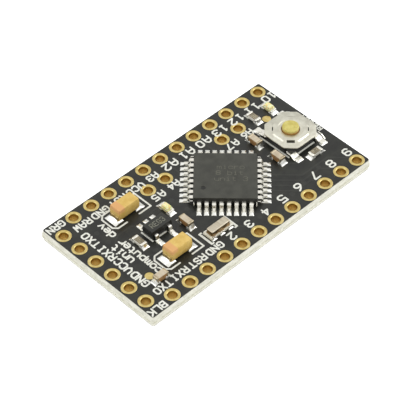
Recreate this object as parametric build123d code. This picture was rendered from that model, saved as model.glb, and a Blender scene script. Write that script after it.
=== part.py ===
from build123d import *
import math
import os

# A microcontroller dev board, in millimetres.
# The origin is the centre of the underside. +X runs along the length, from the programming
# header to the reset button, +Y points to the analog row, and +Z is up.

# The bare board
board_length = 32.6
board_width = 17.1
board_thickness = 1.4
corner_radius = 0.25
edge_web = 0.45  # height of the rough band where the scored panel was snapped apart
edge_proud = 0.16  # how far that band stands out of the scored edge
mask_thickness = 0.04
copper_thickness = 0.03
mask_clearance = 0.02  # gap between a pad and the edge of its mask opening
solder_thickness = 0.04  # solder between a land and the terminal that stands on it
ink_thickness = 0.015
ink_width = 0.2

# Plated holes, on the standard 0.1 inch grid
pin_pitch = 2.54
row_spacing = 6 * pin_pitch
row_count = 12
row_start_x = -5 * pin_pitch
header_count = 6
header_x = -6 * pin_pitch
inner_row_y = 5.02
inner_row_x = [-4.24, -1.70, 6.94, 9.48]
hole_radius = 0.5
drill_radius = 0.56
ring_radius = 0.87
fiducial_radius = 0.5
fiducial_places = [(-12.62, -4.1), (12.82, 3.85)]

# Heights that the parts share
core_bottom = mask_thickness
core_top = board_thickness - mask_thickness
land_top = core_top + copper_thickness
seat = land_top + solder_thickness  # the underside of every soldered terminal

# Microcontroller: a 32-lead flat package, turned by 45 degrees
mcu_place = (2.54, 0.0, 45.0)
mcu_side = 7.0
mcu_taper = 0.1  # how much each side leans in, from the parting line to the top or bottom
mcu_bottom = board_thickness + 0.1
mcu_height = 1.0
mcu_leads_per_side = 8
mcu_lead_pitch = 0.8
mcu_lead_width = 0.37
mcu_lead_thickness = 0.13
mcu_lead_span = 9.0
mcu_lead_inner = 3.05
mcu_lead_shoulder = 3.85
mcu_lead_knee = 4.1
mcu_land_inner = 3.8
mcu_land_outer = 4.95
mcu_land_width = 0.5
mcu_paddle_side = 4.2
mcu_paddle_rise = 0.22
mcu_die_side = 3.0
mcu_die_height = 0.2
mcu_dimple = (-1.9, 2.4, 0.35, 0.05)  # place, radius and depth of the pin-1 mark
bond_wire_width = 0.04
bond_wire_inset = 0.12  # from the edge of the die to the wire
bond_wire_crowding = 0.42  # the wires stand closer together on the die than on the leads

# Voltage regulator: a small five-lead package
regulator_place = (-7.58, 0.05)
regulator_size = (2.9, 1.6, 1.12)
regulator_rise = 0.04
regulator_lean = 0.06
regulator_lead_width = 0.42
regulator_lead_pitch = 0.95
regulator_lead_span = 2.9
regulator_lead_inner = 0.45
regulator_lead_shoulder = 1.0
regulator_lead_knee = 1.2
regulator_lead_thickness = 0.12
regulator_island = (1.3, 0.96)  # the middle lead's broad inner end, which carries the die
regulator_die_size = (1.3, 0.7, 0.25)
regulator_land = (0.6, 1.1)
regulator_land_offset = 1.45

# Resonator: a ceramic base with a metal can
resonator_place = (-3.0, -4.5)
resonator_base_size = (3.2, 1.3, 0.3)
resonator_can_size = (2.75, 1.02, 0.58)
resonator_can_wall = 0.1
resonator_can_corner = 0.3
resonator_strip_size = (2.3, 0.56, 0.14)
resonator_foot_size = (0.3, 0.5, 0.08)
resonator_foot_offset = 0.98
resonator_terminal_pitch = 1.2
resonator_terminal_width = 0.45
resonator_metal = 0.04
resonator_land = (0.62, 1.62)

# Reset switch
switch_place = (12.66, 0.04)
switch_side = 5.2
switch_base_side = 4.7
switch_base_corner = 0.95
switch_corner = 1.15  # leg of the chamfer at each corner
switch_bottom = board_thickness + 0.02
switch_floor = board_thickness + 0.32
switch_wall_top = board_thickness + 0.9
switch_well_radius = 1.85
cover_thickness = 0.2
cover_step = 0.13
cover_platform = 3.85
cover_platform_corner = 1.1
cover_hole_radius = 1.05
plunger_radius = 0.95
plunger_top = board_thickness + 1.65
plunger_flange_radius = 1.4
plunger_foot_radius = 0.5
plunger_edge = 0.1
plunger_travel = 0.25
dome_radius = 1.7
dome_height = 0.34
dome_thickness = 0.06
stake_size = (0.9, 0.25)
stake_offset = 2.06  # from the button's axis, towards two opposite corners
terminal_offset = 1.9
terminal_width = 0.78
terminal_reach = 3.35
terminal_thickness = 0.15
terminal_land = (0.9, 1.1)
terminal_land_margin = 0.12  # of bare land beyond the terminal's tip

# Tantalum capacitors
tantalum_places = {"input_tantalum": (-8.25, -3.75), "output_tantalum": (-8.25, 4.37)}
tantalum_size = (3.0, 1.6, 1.45)
tantalum_rise = 0.17
tantalum_lean = 0.07
tantalum_tab_width = 1.2
tantalum_tab_thickness = 0.1
tantalum_tab_fold = 0.8
tantalum_tab_shelf = 0.5
pellet_size = (1.7, 1.0)
pellet_offset = 0.12
pellet_inset = 0.3  # below the top of the case and above its underside
tantalum_land = (1.25, 1.75)
tantalum_land_offset = 1.53

# Chip parts, all of one footprint: place and whether the part lies along Y
chip_length = 1.6
chip_width = 0.8
chip_end = 0.32
chip_plating = 0.03
chip_land = (0.8, 0.92)
chip_land_offset = 0.76
capacitor_height = 0.8
resistor_height = 0.45
overcoat_thickness = 0.04
capacitors = {
    "regulator_decoupler": (-4.75, -1.45, True),
    "mcu_decoupler_near": (9.1, -1.5, True),
    "mcu_decoupler_far": (9.1, 2.0, True),
    "reset_coupler": (-12.05, -5.2, False),
}
resistors = {
    "power_led_resistor": (-10.2, 0.0, True),
    "reset_pullup": (12.7, -3.75, False),
    "status_led_resistor": (11.75, 4.85, True),
}
lights = {"power_led": (-4.8, 1.55, True), "status_led": (14.12, 4.8, True)}
light_base_height = 0.25
light_lens_height = 0.32
light_lens_length = 1.1
light_terminal_length = 0.26
light_die_size = (0.3, 0.3, 0.12)

trace_width = 0.22
trace_depth = 0.03


def block(x, y, z, length, width, height, turn=0.0):
    """A box standing on height z, centred on x and y, turned about its own middle."""
    return Pos(x, y, z + height / 2) * Rot(0, 0, turn) * Box(length, width, height)


def disc(x, y, z, radius, height):
    """A cylinder standing on height z."""
    return Pos(x, y, z + height / 2) * Cylinder(radius, height)


def octagon(across, corner):
    """A square outline with its four corners cut off."""
    half = across / 2
    near = half - corner
    points = [(half, -near), (half, near), (near, half), (-near, half)]
    points += [(-half, near), (-half, -near), (-near, -half), (near, -half)]
    return Polygon(*points, align=None)


def moulded(length, width, bottom, parting, top, lean):
    """A moulded package: it is widest at its parting line and leans in above and below it."""
    widest = Pos(0, 0, parting) * Rectangle(length, width)
    body = None
    for level in (bottom, top):
        end = Pos(0, 0, level) * Rectangle(length - 2 * lean, width - 2 * lean)
        half = loft([widest, end], ruled=True)
        body = half if body is None else body + half
    return body


def gull_wing(inner, shoulder, knee, toe, lead_top, width, thickness):
    """A formed lead: flat out of the body, down, and flat again on its land, towards +X."""
    points = [
        (inner, lead_top),
        (shoulder, lead_top),
        (knee, seat + thickness),
        (toe, seat + thickness),
        (toe, seat),
        (knee - thickness, seat),
        (shoulder - thickness, lead_top - thickness),
        (inner, lead_top - thickness),
    ]
    profile = Plane.XZ * Polygon(*points, align=None)
    return extrude(profile, amount=width / 2, both=True)


def turned(x, y, along_y):
    """The location of a chip part: along X, or turned to lie along Y."""
    return Pos(x, y, 0) * Rot(0, 0, 90 if along_y else 0)


def save(name, shapes):
    """Write one node. It holds one solid, or several separate ones."""
    solids = [solid for shape in shapes for solid in shape.solids()]
    node = solids[0] if len(solids) == 1 else Compound(solids)
    node.label = name
    export_step(node, f"parts/{name}.step")


# Where the plated holes are

def row_places(y):
    return [(row_start_x + pin_pitch * i, y) for i in range(row_count)]


def header_places():
    first_y = pin_pitch * (header_count - 1) / 2
    return [(header_x, first_y - pin_pitch * i) for i in range(header_count)]


hole_groups = {
    "near_row_pin_holes": row_places(-row_spacing / 2),
    "far_row_pin_holes": row_places(row_spacing / 2),
    "header_pin_holes": header_places(),
    "inner_pin_holes": [(x, inner_row_y) for x in inner_row_x],
}
all_holes = [place for group in hole_groups.values() for place in group]


# Where the soldered lands are: x, y, length, width, turn

def mcu_lead_angles():
    """Each lead's side, as an angle, and its place along that side."""
    first = -mcu_lead_pitch * (mcu_leads_per_side - 1) / 2
    for side in range(4):
        for i in range(mcu_leads_per_side):
            yield mcu_place[2] + 90 * side, first + mcu_lead_pitch * i


def mcu_lands():
    middle = (mcu_land_inner + mcu_land_outer) / 2
    for angle, along in mcu_lead_angles():
        spot = Pos(mcu_place[0], mcu_place[1], 0) * Rot(0, 0, angle) * Pos(middle, along, 0)
        place = spot.position
        yield place.X, place.Y, mcu_land_outer - mcu_land_inner, mcu_land_width, angle


def regulator_lead_places():
    """x offset and side (+1 or -1) of the five leads: three on +Y, two on -Y."""
    three = [(i * regulator_lead_pitch, 1) for i in (-1, 0, 1)]
    two = [(i * regulator_lead_pitch, -1) for i in (-1, 1)]
    return three + two


def regulator_lands():
    x, y = regulator_place
    for offset, side in regulator_lead_places():
        yield x + offset, y + side * regulator_land_offset, regulator_land[0], regulator_land[1], 0


def tantalum_lands():
    for x, y in tantalum_places.values():
        for side in (-1, 1):
            yield x + side * tantalum_land_offset, y, tantalum_land[0], tantalum_land[1], 0


def resonator_lands():
    x, y = resonator_place
    for i in (-1, 0, 1):
        yield x + i * resonator_terminal_pitch, y, resonator_land[0], resonator_land[1], 0


def switch_lands():
    x, y = switch_place
    reach = terminal_reach + terminal_land_margin - terminal_land[1] / 2
    for side_x in (-1, 1):
        for side_y in (-1, 1):
            yield x + side_x * terminal_offset, y + side_y * reach, terminal_land[0], terminal_land[1], 0


def chip_lands():
    for x, y, along_y in [*capacitors.values(), *resistors.values(), *lights.values()]:
        for side in (-1, 1):
            place = (turned(x, y, along_y) * Pos(side * chip_land_offset, 0, 0)).position
            yield place.X, place.Y, chip_land[0], chip_land[1], 90 if along_y else 0


small_part_lands = [*regulator_lands(), *tantalum_lands(), *resonator_lands(), *chip_lands()]
all_lands = [*mcu_lands(), *small_part_lands, *switch_lands()]


# The bare board

def board_plate(bottom, height):
    outline = RectangleRounded(board_length, board_width, corner_radius)
    return Pos(0, 0, bottom) * extrude(outline, amount=height)


def board_blank():
    """The laminate: its scored edges slope out to a band at mid-height, left where it was snapped off."""
    web_bottom = (core_bottom + core_top - edge_web) / 2
    levels = [(core_bottom, 0), (web_bottom, edge_proud), (web_bottom + edge_web, edge_proud), (core_top, 0)]
    outlines = [Pos(0, 0, z) * RectangleRounded(board_length + 2 * proud, board_width + 2 * proud,
                                                corner_radius + proud) for z, proud in levels]
    blank = None
    for lower, upper in zip(outlines, outlines[1:]):
        layer = loft([lower, upper], ruled=True)
        blank = layer if blank is None else blank + layer
    return blank


def drilled(plate, radius):
    tools = [disc(x, y, -1, radius, board_thickness + 2) for x, y in all_holes]
    return plate - tools


def plated_hole(x, y):
    """A copper barrel with a flat ring on each face of the core."""
    height = board_thickness - 2 * (mask_thickness - copper_thickness)
    bottom = mask_thickness - copper_thickness
    barrel = disc(x, y, bottom, drill_radius, height)
    lower_ring = disc(x, y, bottom, ring_radius, copper_thickness)
    upper_ring = disc(x, y, core_top, ring_radius, copper_thickness)
    return barrel + lower_ring + upper_ring - disc(x, y, -1, hole_radius, board_thickness + 2)


def top_mask():
    plate = drilled(board_plate(core_top, mask_thickness), ring_radius + mask_clearance)
    tools = [disc(x, y, 0, fiducial_radius + mask_clearance, 3) for x, y in fiducial_places]
    for x, y, length, width, turn in all_lands:
        grown = (length + 2 * mask_clearance, width + 2 * mask_clearance)
        tools.append(block(x, y, 0, *grown, 3, turn))
    return plate - tools


trace_routes = [
    # from the microcontroller's leads to the digital row
    [(4.31, -4.6), (5.08, -5.37), (5.08, -7.62)],
    [(4.87, -4.03), (7.1, -6.26), (7.62, -6.78), (7.62, -7.62)],
    [(5.44, -3.46), (8.2, -6.22), (9.3, -6.22), (10.16, -7.08)],
    [(6.0, -2.9), (8.75, -5.65), (11.3, -5.65), (12.7, -7.05)],
    [(6.57, -2.33), (9.3, -5.06), (13.2, -5.06), (15.24, -7.1)],
    [(-0.9, -5.7), (0.0, -6.6), (0.0, -7.62)],
    [(1.1, -5.2), (2.54, -6.64), (2.54, -7.62)],
    # from the microcontroller's leads to the analog row
    [(4.87, 4.03), (5.08, 4.24), (5.08, 7.62)],
    [(0.21, 4.03), (0.0, 4.24), (0.0, 7.62)],
    [(0.77, 4.6), (2.54, 6.37), (2.54, 7.62)],
    [(-0.92, 2.9), (-2.54, 4.52), (-2.54, 7.62)],
    # from the header and the regulator
    [(-15.24, 1.27), (-12.9, 1.27), (-11.1, 2.4), (-9.2, 2.4), (-8.53, 1.73)],
    [(-15.24, -1.27), (-12.4, -1.27), (-10.4, -2.2), (-9.9, -2.9)],
    [(-15.24, -3.81), (-13.6, -3.81), (-12.9, -5.0)],
    [(-6.63, 1.7), (-6.2, 2.4), (-5.2, 2.4)],
    [(-6.63, -1.7), (-5.8, -1.3), (-5.2, -0.8)],
    # round the switch
    [(9.1, -2.4), (9.9, -3.2), (11.0, -3.2)],
    [(11.7, 4.1), (11.0, 3.4), (11.0, 2.9)],
]


def traces():
    """The tracks, let into the top of the core so that the mask lies flat over them."""
    outline = None
    for route in trace_routes:
        for start, end in zip(route, route[1:]):
            run = math.dist(start, end)
            middle = ((start[0] + end[0]) / 2, (start[1] + end[1]) / 2)
            heading = math.degrees(math.atan2(end[1] - start[1], end[0] - start[0]))
            leg = Pos(*middle) * Rot(0, 0, heading) * Rectangle(run, trace_width)
            shape = leg + Pos(*start) * Circle(trace_width / 2) + Pos(*end) * Circle(trace_width / 2)
            outline = shape if outline is None else outline + shape
    copper = Pos(0, 0, core_top - trace_depth) * extrude(outline, amount=trace_depth)
    return drilled(copper, drill_radius)


def board():
    copper = traces()
    save("board_core", [drilled(board_blank(), drill_radius) - copper])
    save("copper_traces", [copper])
    save("solder_mask_top", [top_mask()])
    save("solder_mask_bottom", [drilled(board_plate(0, mask_thickness), ring_radius + mask_clearance)])
    for name, places in hole_groups.items():
        save(name, [plated_hole(x, y) for x, y in places])
    dots = [disc(x, y, core_top, fiducial_radius, copper_thickness) for x, y in fiducial_places]
    save("fiducial_marks", dots)
    lands = [block(x, y, core_top, length, width, copper_thickness, turn)
             for x, y, length, width, turn in all_lands]
    save("component_lands", lands)


# White outlines printed round the parts: each is a line through its points

def legend_lines():
    lines = []
    for x, y in tantalum_places.values():
        left, right, low, high = x - 2.55, x + 2.6, y - 1.27, y + 1.27
        cut = 0.45
        lines.append([(x - 0.85, high), (left + cut, high), (left, high - cut),
                      (left, low + cut), (left + cut, low), (x - 0.85, low)])
        lines.append([(x + 0.95, high), (right, high), (right, low), (x + 0.95, low)])
    x, y = regulator_place
    lines.append([(x - 1.45, y + 0.85), (x - 1.45, y - 0.85)])
    lines.append([(x - 0.42, y - 0.8), (x + 0.53, y - 0.8)])
    x, y = resonator_place
    lines.append([(x - 1.6, y + 0.95), (x - 1.88, y + 0.95), (x - 1.88, y - 0.95), (x - 1.6, y - 0.95)])
    lines.append([(x + 1.6, y + 0.95), (x + 1.88, y + 0.95), (x + 1.88, y - 0.95), (x + 1.6, y - 0.95)])
    x, y = switch_place
    half = switch_base_side / 2 + 0.12
    lines += [[(x + side * half, y - 2.2), (x + side * half, y + 2.2)] for side in (-1, 1)]
    lines += [[(x - 1.2, y + side * half), (x + 1.2, y + side * half)] for side in (-1, 1)]
    return lines


def legend():
    outline = None
    for line in legend_lines():
        for start, end in zip(line, line[1:]):
            run = math.dist(start, end)
            heading = math.degrees(math.atan2(end[1] - start[1], end[0] - start[0]))
            middle = ((start[0] + end[0]) / 2, (start[1] + end[1]) / 2)
            leg = Pos(*middle) * Rot(0, 0, heading) * SlotCenterToCenter(run, ink_width)
            outline = leg if outline is None else outline + leg
    save("legend_outlines", [Pos(0, 0, board_thickness) * extrude(outline, amount=ink_thickness)])


# Microcontroller

def at_mcu(shape):
    return Pos(mcu_place[0], mcu_place[1], 0) * Rot(0, 0, mcu_place[2]) * shape


def microcontroller():
    top = mcu_bottom + mcu_height
    lead_top = mcu_bottom + mcu_height / 2 + mcu_lead_thickness / 2
    parting = mcu_bottom + mcu_height / 2
    body = moulded(mcu_side, mcu_side, mcu_bottom, parting, top, mcu_taper)
    body -= disc(mcu_dimple[0], mcu_dimple[1], top - mcu_dimple[3], mcu_dimple[2], 1)

    wing = gull_wing(mcu_lead_inner, mcu_lead_shoulder, mcu_lead_knee, mcu_lead_span / 2, lead_top,
                     mcu_lead_width, mcu_lead_thickness)
    paddle_bottom = mcu_bottom + mcu_paddle_rise
    paddle = block(0, 0, paddle_bottom, mcu_paddle_side, mcu_paddle_side, mcu_lead_thickness)
    die_bottom = paddle_bottom + mcu_lead_thickness
    die = block(0, 0, die_bottom, mcu_die_side, mcu_die_side, mcu_die_height)
    die_top = die_bottom + mcu_die_height

    leads = []
    wires = []
    for angle, along in mcu_lead_angles():
        turn = Rot(0, 0, angle - mcu_place[2])
        leads.append(turn * Pos(0, along, 0) * wing)
        wires.append(turn * bond_wire(along, die_top, lead_top))

    body = body - [*leads, paddle, die, *wires]
    save("mcu_body", [at_mcu(body)])
    save("mcu_leads", [at_mcu(lead) for lead in leads])
    save("mcu_die_paddle", [at_mcu(paddle)])
    save("mcu_die", [at_mcu(die)])
    save("mcu_bond_wires", [at_mcu(wire) for wire in wires])


def bond_wire(along, die_top, lead_top):
    """A flat-sided loop of wire, from the edge of the die up and out to the lead's inner end."""
    start = Vector(mcu_die_side / 2 - bond_wire_inset, along * bond_wire_crowding, die_top)
    finish = Vector(mcu_lead_inner + 0.08, along, lead_top)
    level = Vector(finish.X - start.X, finish.Y - start.Y, 0)
    rise = lead_top - die_top
    peak = rise + 0.12
    run = level.length
    wide = bond_wire_width
    points = [(0, 0), (wide, 0), (wide, peak - wide), (run * 0.7, peak - wide), (run - wide, rise)]
    points += [(run, rise), (run * 0.7 + wide, peak), (0, peak)]
    plane = Plane(origin=start, x_dir=level, z_dir=level.cross(Vector(0, 0, 1)))
    return extrude(plane * Polygon(*points, align=None), amount=wide / 2, both=True)


# Voltage regulator

def regulator():
    x, y = regulator_place
    length, width, height = regulator_size
    thick = regulator_lead_thickness
    bottom = seat + regulator_rise
    parting = bottom + height / 2
    lead_top = parting + thick / 2
    body = moulded(length, width, bottom, parting, bottom + height, regulator_lean)
    die = block(0, 0, lead_top, *regulator_die_size)
    wing = gull_wing(regulator_lead_inner, regulator_lead_shoulder, regulator_lead_knee,
                     regulator_lead_span / 2, lead_top, regulator_lead_width, thick)
    leads = [Pos(offset, 0, 0) * Rot(0, 0, 90 * side) * wing for offset, side in regulator_lead_places()]
    leads[1] = leads[1] + block(0, 0, lead_top - thick, *regulator_island, thick)
    body = body - [*leads, die]
    here = Pos(x, y, 0)
    save("regulator_body", [here * body])
    save("regulator_leads", [here * lead for lead in leads])
    save("regulator_die", [here * die])


# Resonator

def resonator():
    here = Pos(*resonator_place, 0)
    length, width, height = resonator_base_size
    metal = resonator_metal
    base_bottom = seat + metal
    base = block(0, 0, base_bottom, length, width, height)
    terminals = []
    for i in (-1, 0, 1):
        strap = block(i * resonator_terminal_pitch, 0, seat, resonator_terminal_width,
                      width + 2 * metal, height + metal)
        terminals.append(strap - base)
    base_top = base_bottom + height
    can_length, can_width, can_height = resonator_can_size
    wall = resonator_can_wall
    shell = extrude(RectangleRounded(can_length, can_width, resonator_can_corner), amount=can_height)
    hollow = extrude(RectangleRounded(can_length - 2 * wall, can_width - 2 * wall,
                                      resonator_can_corner - wall), amount=can_height - wall)
    can = Pos(0, 0, base_top) * (shell - hollow)
    strip = block(0, 0, base_top + resonator_foot_size[2], *resonator_strip_size)
    feet = [block(side * resonator_foot_offset, 0, base_top, *resonator_foot_size) for side in (-1, 1)]
    save("resonator_base", [here * base])
    save("resonator_terminals", [here * terminal for terminal in terminals])
    save("resonator_can", [here * can])
    save("resonator_element", [here * (strip + feet)])


# Reset switch

def contact_strips():
    """Two stamped strips: each joins two terminals, one feeds the dome's rim and one its middle."""
    strips = []
    for side in (-1, 1):
        strips.append(block(side * terminal_offset, 0, seat, terminal_width,
                            2 * terminal_reach, terminal_thickness))
    rise = switch_floor - seat
    strips[0] = strips[0] + disc(-dome_radius + 0.12, 0, seat, 0.25, rise)
    tongue = block(terminal_offset / 2, 0, seat, terminal_offset, 0.8, terminal_thickness)
    strips[1] = strips[1] + tongue + disc(0, 0, seat, 0.35, rise)
    return strips


def stakes(bottom, height, gap):
    """The two posts of the base that the cover is fixed on, or the cover's slots for them."""
    reach = stake_offset / math.sqrt(2)
    size = (stake_size[0] + 2 * gap, stake_size[1] + 2 * gap)
    return [block(side * reach, side * reach, bottom, *size, height, -45) for side in (-1, 1)]


def reset_switch():
    here = Pos(*switch_place, 0)
    strips = contact_strips()
    cover_base = switch_wall_top
    cover_top = cover_base + cover_thickness

    base = Pos(0, 0, switch_bottom) * extrude(octagon(switch_base_side, switch_base_corner),
                                              amount=switch_wall_top - switch_bottom)
    base -= disc(0, 0, switch_floor, switch_well_radius, 3)
    base -= strips

    lower = Pos(0, 0, cover_base) * extrude(octagon(switch_side, switch_corner), amount=cover_thickness)
    platform = octagon(cover_platform, cover_platform_corner)
    upper = Pos(0, 0, cover_top) * extrude(platform, amount=cover_step)
    cover = lower + upper - disc(0, 0, cover_base, cover_hole_radius, 3)
    pressed_out = octagon(cover_platform - 0.4, cover_platform_corner - 0.1)
    cover -= Pos(0, 0, cover_base) * extrude(pressed_out, amount=cover_step)
    cover -= stakes(cover_base, 1, 0.03)
    post_bottom = switch_wall_top - 0.1
    base += stakes(post_bottom, cover_top - 0.03 - post_bottom, 0)

    flange_top = cover_base + cover_step - 0.02
    flange_bottom = switch_floor + dome_height + 0.06
    plunger = disc(0, 0, flange_top, plunger_radius, plunger_top - flange_top)
    plunger += disc(0, 0, flange_bottom, plunger_flange_radius, flange_top - flange_bottom)
    foot_bottom = switch_floor + dome_height + 0.01
    plunger += disc(0, 0, foot_bottom, plunger_foot_radius, flange_bottom - foot_bottom)
    plunger = fillet(plunger.edges().group_by(Axis.Z)[-1], plunger_edge)

    # The dome is a thin cap of a sphere whose centre lies on the button's axis
    rise = dome_height - dome_thickness
    sphere = (dome_radius ** 2 + rise ** 2) / (2 * rise)
    half_angle = math.degrees(math.asin(dome_radius / sphere))
    arch = CenterArc((0, dome_height - sphere), sphere, 90 - half_angle, half_angle)
    under = CenterArc((0, rise - sphere), sphere, 90 - half_angle, half_angle)
    rim = Line((dome_radius, dome_thickness), (dome_radius, 0))
    middle = Line((0, rise), (0, dome_height))
    profile = Plane.XZ * make_face([arch, rim, under, middle])
    dome = Pos(0, 0, switch_floor) * revolve(profile, Axis.Z)

    save("switch_base", [here * base])
    save("switch_cover", [here * cover])
    save("switch_plunger", [here * plunger])
    save("switch_contact_dome", [here * dome])
    save("switch_terminals", [here * strip for strip in strips])


# Tantalum capacitors

def tantalum(name, x, y):
    length, width, height = tantalum_size
    bottom = seat + tantalum_rise
    parting = bottom + height / 2
    thick = tantalum_tab_thickness
    body = moulded(length, width, bottom, parting, bottom + height, tantalum_lean)
    tabs = []
    for side in (-1, 1):
        face = side * (length / 2 + thick / 2)
        upright = block(face, 0, seat, thick, tantalum_tab_width, parting - seat)
        fold = block(face - side * tantalum_tab_fold / 2, 0, seat, tantalum_tab_fold + thick,
                     tantalum_tab_width, thick)
        shelf = block(face - side * tantalum_tab_shelf / 2, 0, parting - thick, tantalum_tab_shelf + thick,
                      tantalum_tab_width, thick)
        tabs.append(upright + fold + shelf)
    pellet = block(pellet_offset, 0, bottom + pellet_inset, *pellet_size, height - 2 * pellet_inset)
    wire = Pos(-1.0, 0, parting + 0.1) * Rot(0, 90, 0) * Cylinder(0.1, 0.7)
    anode = pellet + wire
    body = body - [*tabs, anode]
    here = Pos(x, y, 0)
    save(f"{name}_body", [here * body])
    save(f"{name}_terminals", [here * tab for tab in tabs])
    save(f"{name}_anode", [here * anode])


# Chip parts

def end_caps(height, core):
    """The plated ends of a chip part, wrapped round its core."""
    reach = chip_length / 2 - chip_end / 2
    return [block(side * reach, 0, seat, chip_end, chip_width, height) - core for side in (-1, 1)]


def chip_core(height):
    inset = 2 * chip_plating
    return block(0, 0, seat + chip_plating, chip_length - inset, chip_width - inset, height - inset)


def ceramic_capacitor(name, place):
    core = chip_core(capacitor_height)
    save(f"{name}_body", [turned(*place) * core])
    save(f"{name}_ends", [turned(*place) * cap for cap in end_caps(capacitor_height, core)])


def resistor(name, place):
    """Returns the glass coat, which is printed on top between the two ends."""
    core = chip_core(resistor_height)
    coat_length = chip_length - 2 * chip_end
    coat = block(0, 0, seat + resistor_height - chip_plating, coat_length,
                 chip_width - 2 * chip_plating, overcoat_thickness)
    save(f"{name}_body", [turned(*place) * core])
    save(f"{name}_ends", [turned(*place) * cap for cap in end_caps(resistor_height, core)])
    return turned(*place) * coat


def light(name, place):
    """Returns the glowing die, which sits on the base inside the lens."""
    plate = chip_plating
    base = block(0, 0, seat + plate, chip_length - 2 * plate, chip_width, light_base_height)
    reach = (chip_length - light_terminal_length) / 2
    wraps = [block(side * reach, 0, seat, light_terminal_length, chip_width, light_base_height + 2 * plate)
             - base for side in (-1, 1)]
    lens_bottom = seat + plate + light_base_height
    die = block(0, 0, lens_bottom, *light_die_size)
    foot = Pos(0, 0, lens_bottom) * Rectangle(light_lens_length, chip_width)
    crown = Pos(0, 0, lens_bottom + light_lens_height) * Rectangle(light_lens_length - 0.2, chip_width - 0.06)
    lens = loft([foot, crown], ruled=True) - die
    save(f"{name}_base", [turned(*place) * base])
    save(f"{name}_terminals", [turned(*place) * wrap for wrap in wraps])
    save(f"{name}_lens", [turned(*place) * lens])
    return turned(*place) * die


# Solder

def solder(lands):
    """A thin bed of solder on each land."""
    inset = 0.02
    return [block(x, y, land_top, length - inset, width - inset, solder_thickness, turn)
            for x, y, length, width, turn in lands]


def main():
    os.makedirs("parts", exist_ok=True)
    board()
    legend()
    microcontroller()
    regulator()
    resonator()
    reset_switch()
    for name, (x, y) in tantalum_places.items():
        tantalum(name, x, y)
    for name, place in capacitors.items():
        ceramic_capacitor(name, place)
    save("resistor_overcoats", [resistor(name, place) for name, place in resistors.items()])
    save("led_dies", [light(name, place) for name, place in lights.items()])
    save("mcu_solder_joints", solder(mcu_lands()))
    save("small_part_solder_joints", solder(small_part_lands))
    save("switch_solder_joints", solder(switch_lands()))


main()
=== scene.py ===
import math

import bmesh
import bpy
import numpy as np
from mathutils import Matrix, Vector
from mathutils.geometry import delaunay_2d_cdt


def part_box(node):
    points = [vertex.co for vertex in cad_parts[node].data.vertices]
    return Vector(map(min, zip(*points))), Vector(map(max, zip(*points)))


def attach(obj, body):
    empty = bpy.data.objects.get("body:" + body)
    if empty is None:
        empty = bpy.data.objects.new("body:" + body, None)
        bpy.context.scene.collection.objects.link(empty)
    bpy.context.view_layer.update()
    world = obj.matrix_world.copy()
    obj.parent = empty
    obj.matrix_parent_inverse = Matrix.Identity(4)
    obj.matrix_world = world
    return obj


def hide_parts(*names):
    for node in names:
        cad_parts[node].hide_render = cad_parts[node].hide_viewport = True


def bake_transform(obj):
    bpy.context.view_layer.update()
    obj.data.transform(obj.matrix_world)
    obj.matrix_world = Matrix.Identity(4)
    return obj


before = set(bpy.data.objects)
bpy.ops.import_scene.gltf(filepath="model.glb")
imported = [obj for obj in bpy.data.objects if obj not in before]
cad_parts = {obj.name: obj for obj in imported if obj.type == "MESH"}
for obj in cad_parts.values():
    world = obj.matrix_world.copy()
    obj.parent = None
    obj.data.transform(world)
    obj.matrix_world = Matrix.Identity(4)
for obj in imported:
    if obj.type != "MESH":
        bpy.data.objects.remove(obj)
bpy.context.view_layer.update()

mm = 0.001
nearAxis = 0.001  # a lathe's profile starts and ends this far from its axis


def heights(node):
    low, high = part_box(node)
    return low.z / mm, high.z / mm


def boxMiddle(node):
    low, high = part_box(node)
    return (low.x + high.x) / 2 / mm, (low.y + high.y) / 2 / mm


boardLow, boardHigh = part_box("board_core")
maskBottom, maskTop = heights("solder_mask_bottom")[0], heights("solder_mask_top")[1]
landTop = heights("component_lands")[1]
seat = heights("mcu_solder_joints")[1]  # where the terminals' undersides rest
print("frame loaded:", len(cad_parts), "nodes")


class Field:
    # a socket in a material, so that shader maths can be written as an expression
    def __init__(self, paint, socket):
        self.paint = paint
        self.socket = socket

    def math(self, operation, *others):
        values = dict(enumerate((self,) + others))
        return self.paint.node("ShaderNodeMath", {"operation": operation}, values)

    def __add__(self, other):
        return self.math("ADD", other)

    def __sub__(self, other):
        return self.math("SUBTRACT", other)

    def __rsub__(self, other):
        return self.paint.node("ShaderNodeMath", {"operation": "SUBTRACT"}, {0: other, 1: self})

    def __mul__(self, other):
        return self.math("MULTIPLY", other)

    def __abs__(self):
        return self.math("ABSOLUTE")

    __radd__ = __add__
    __rmul__ = __mul__


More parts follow.
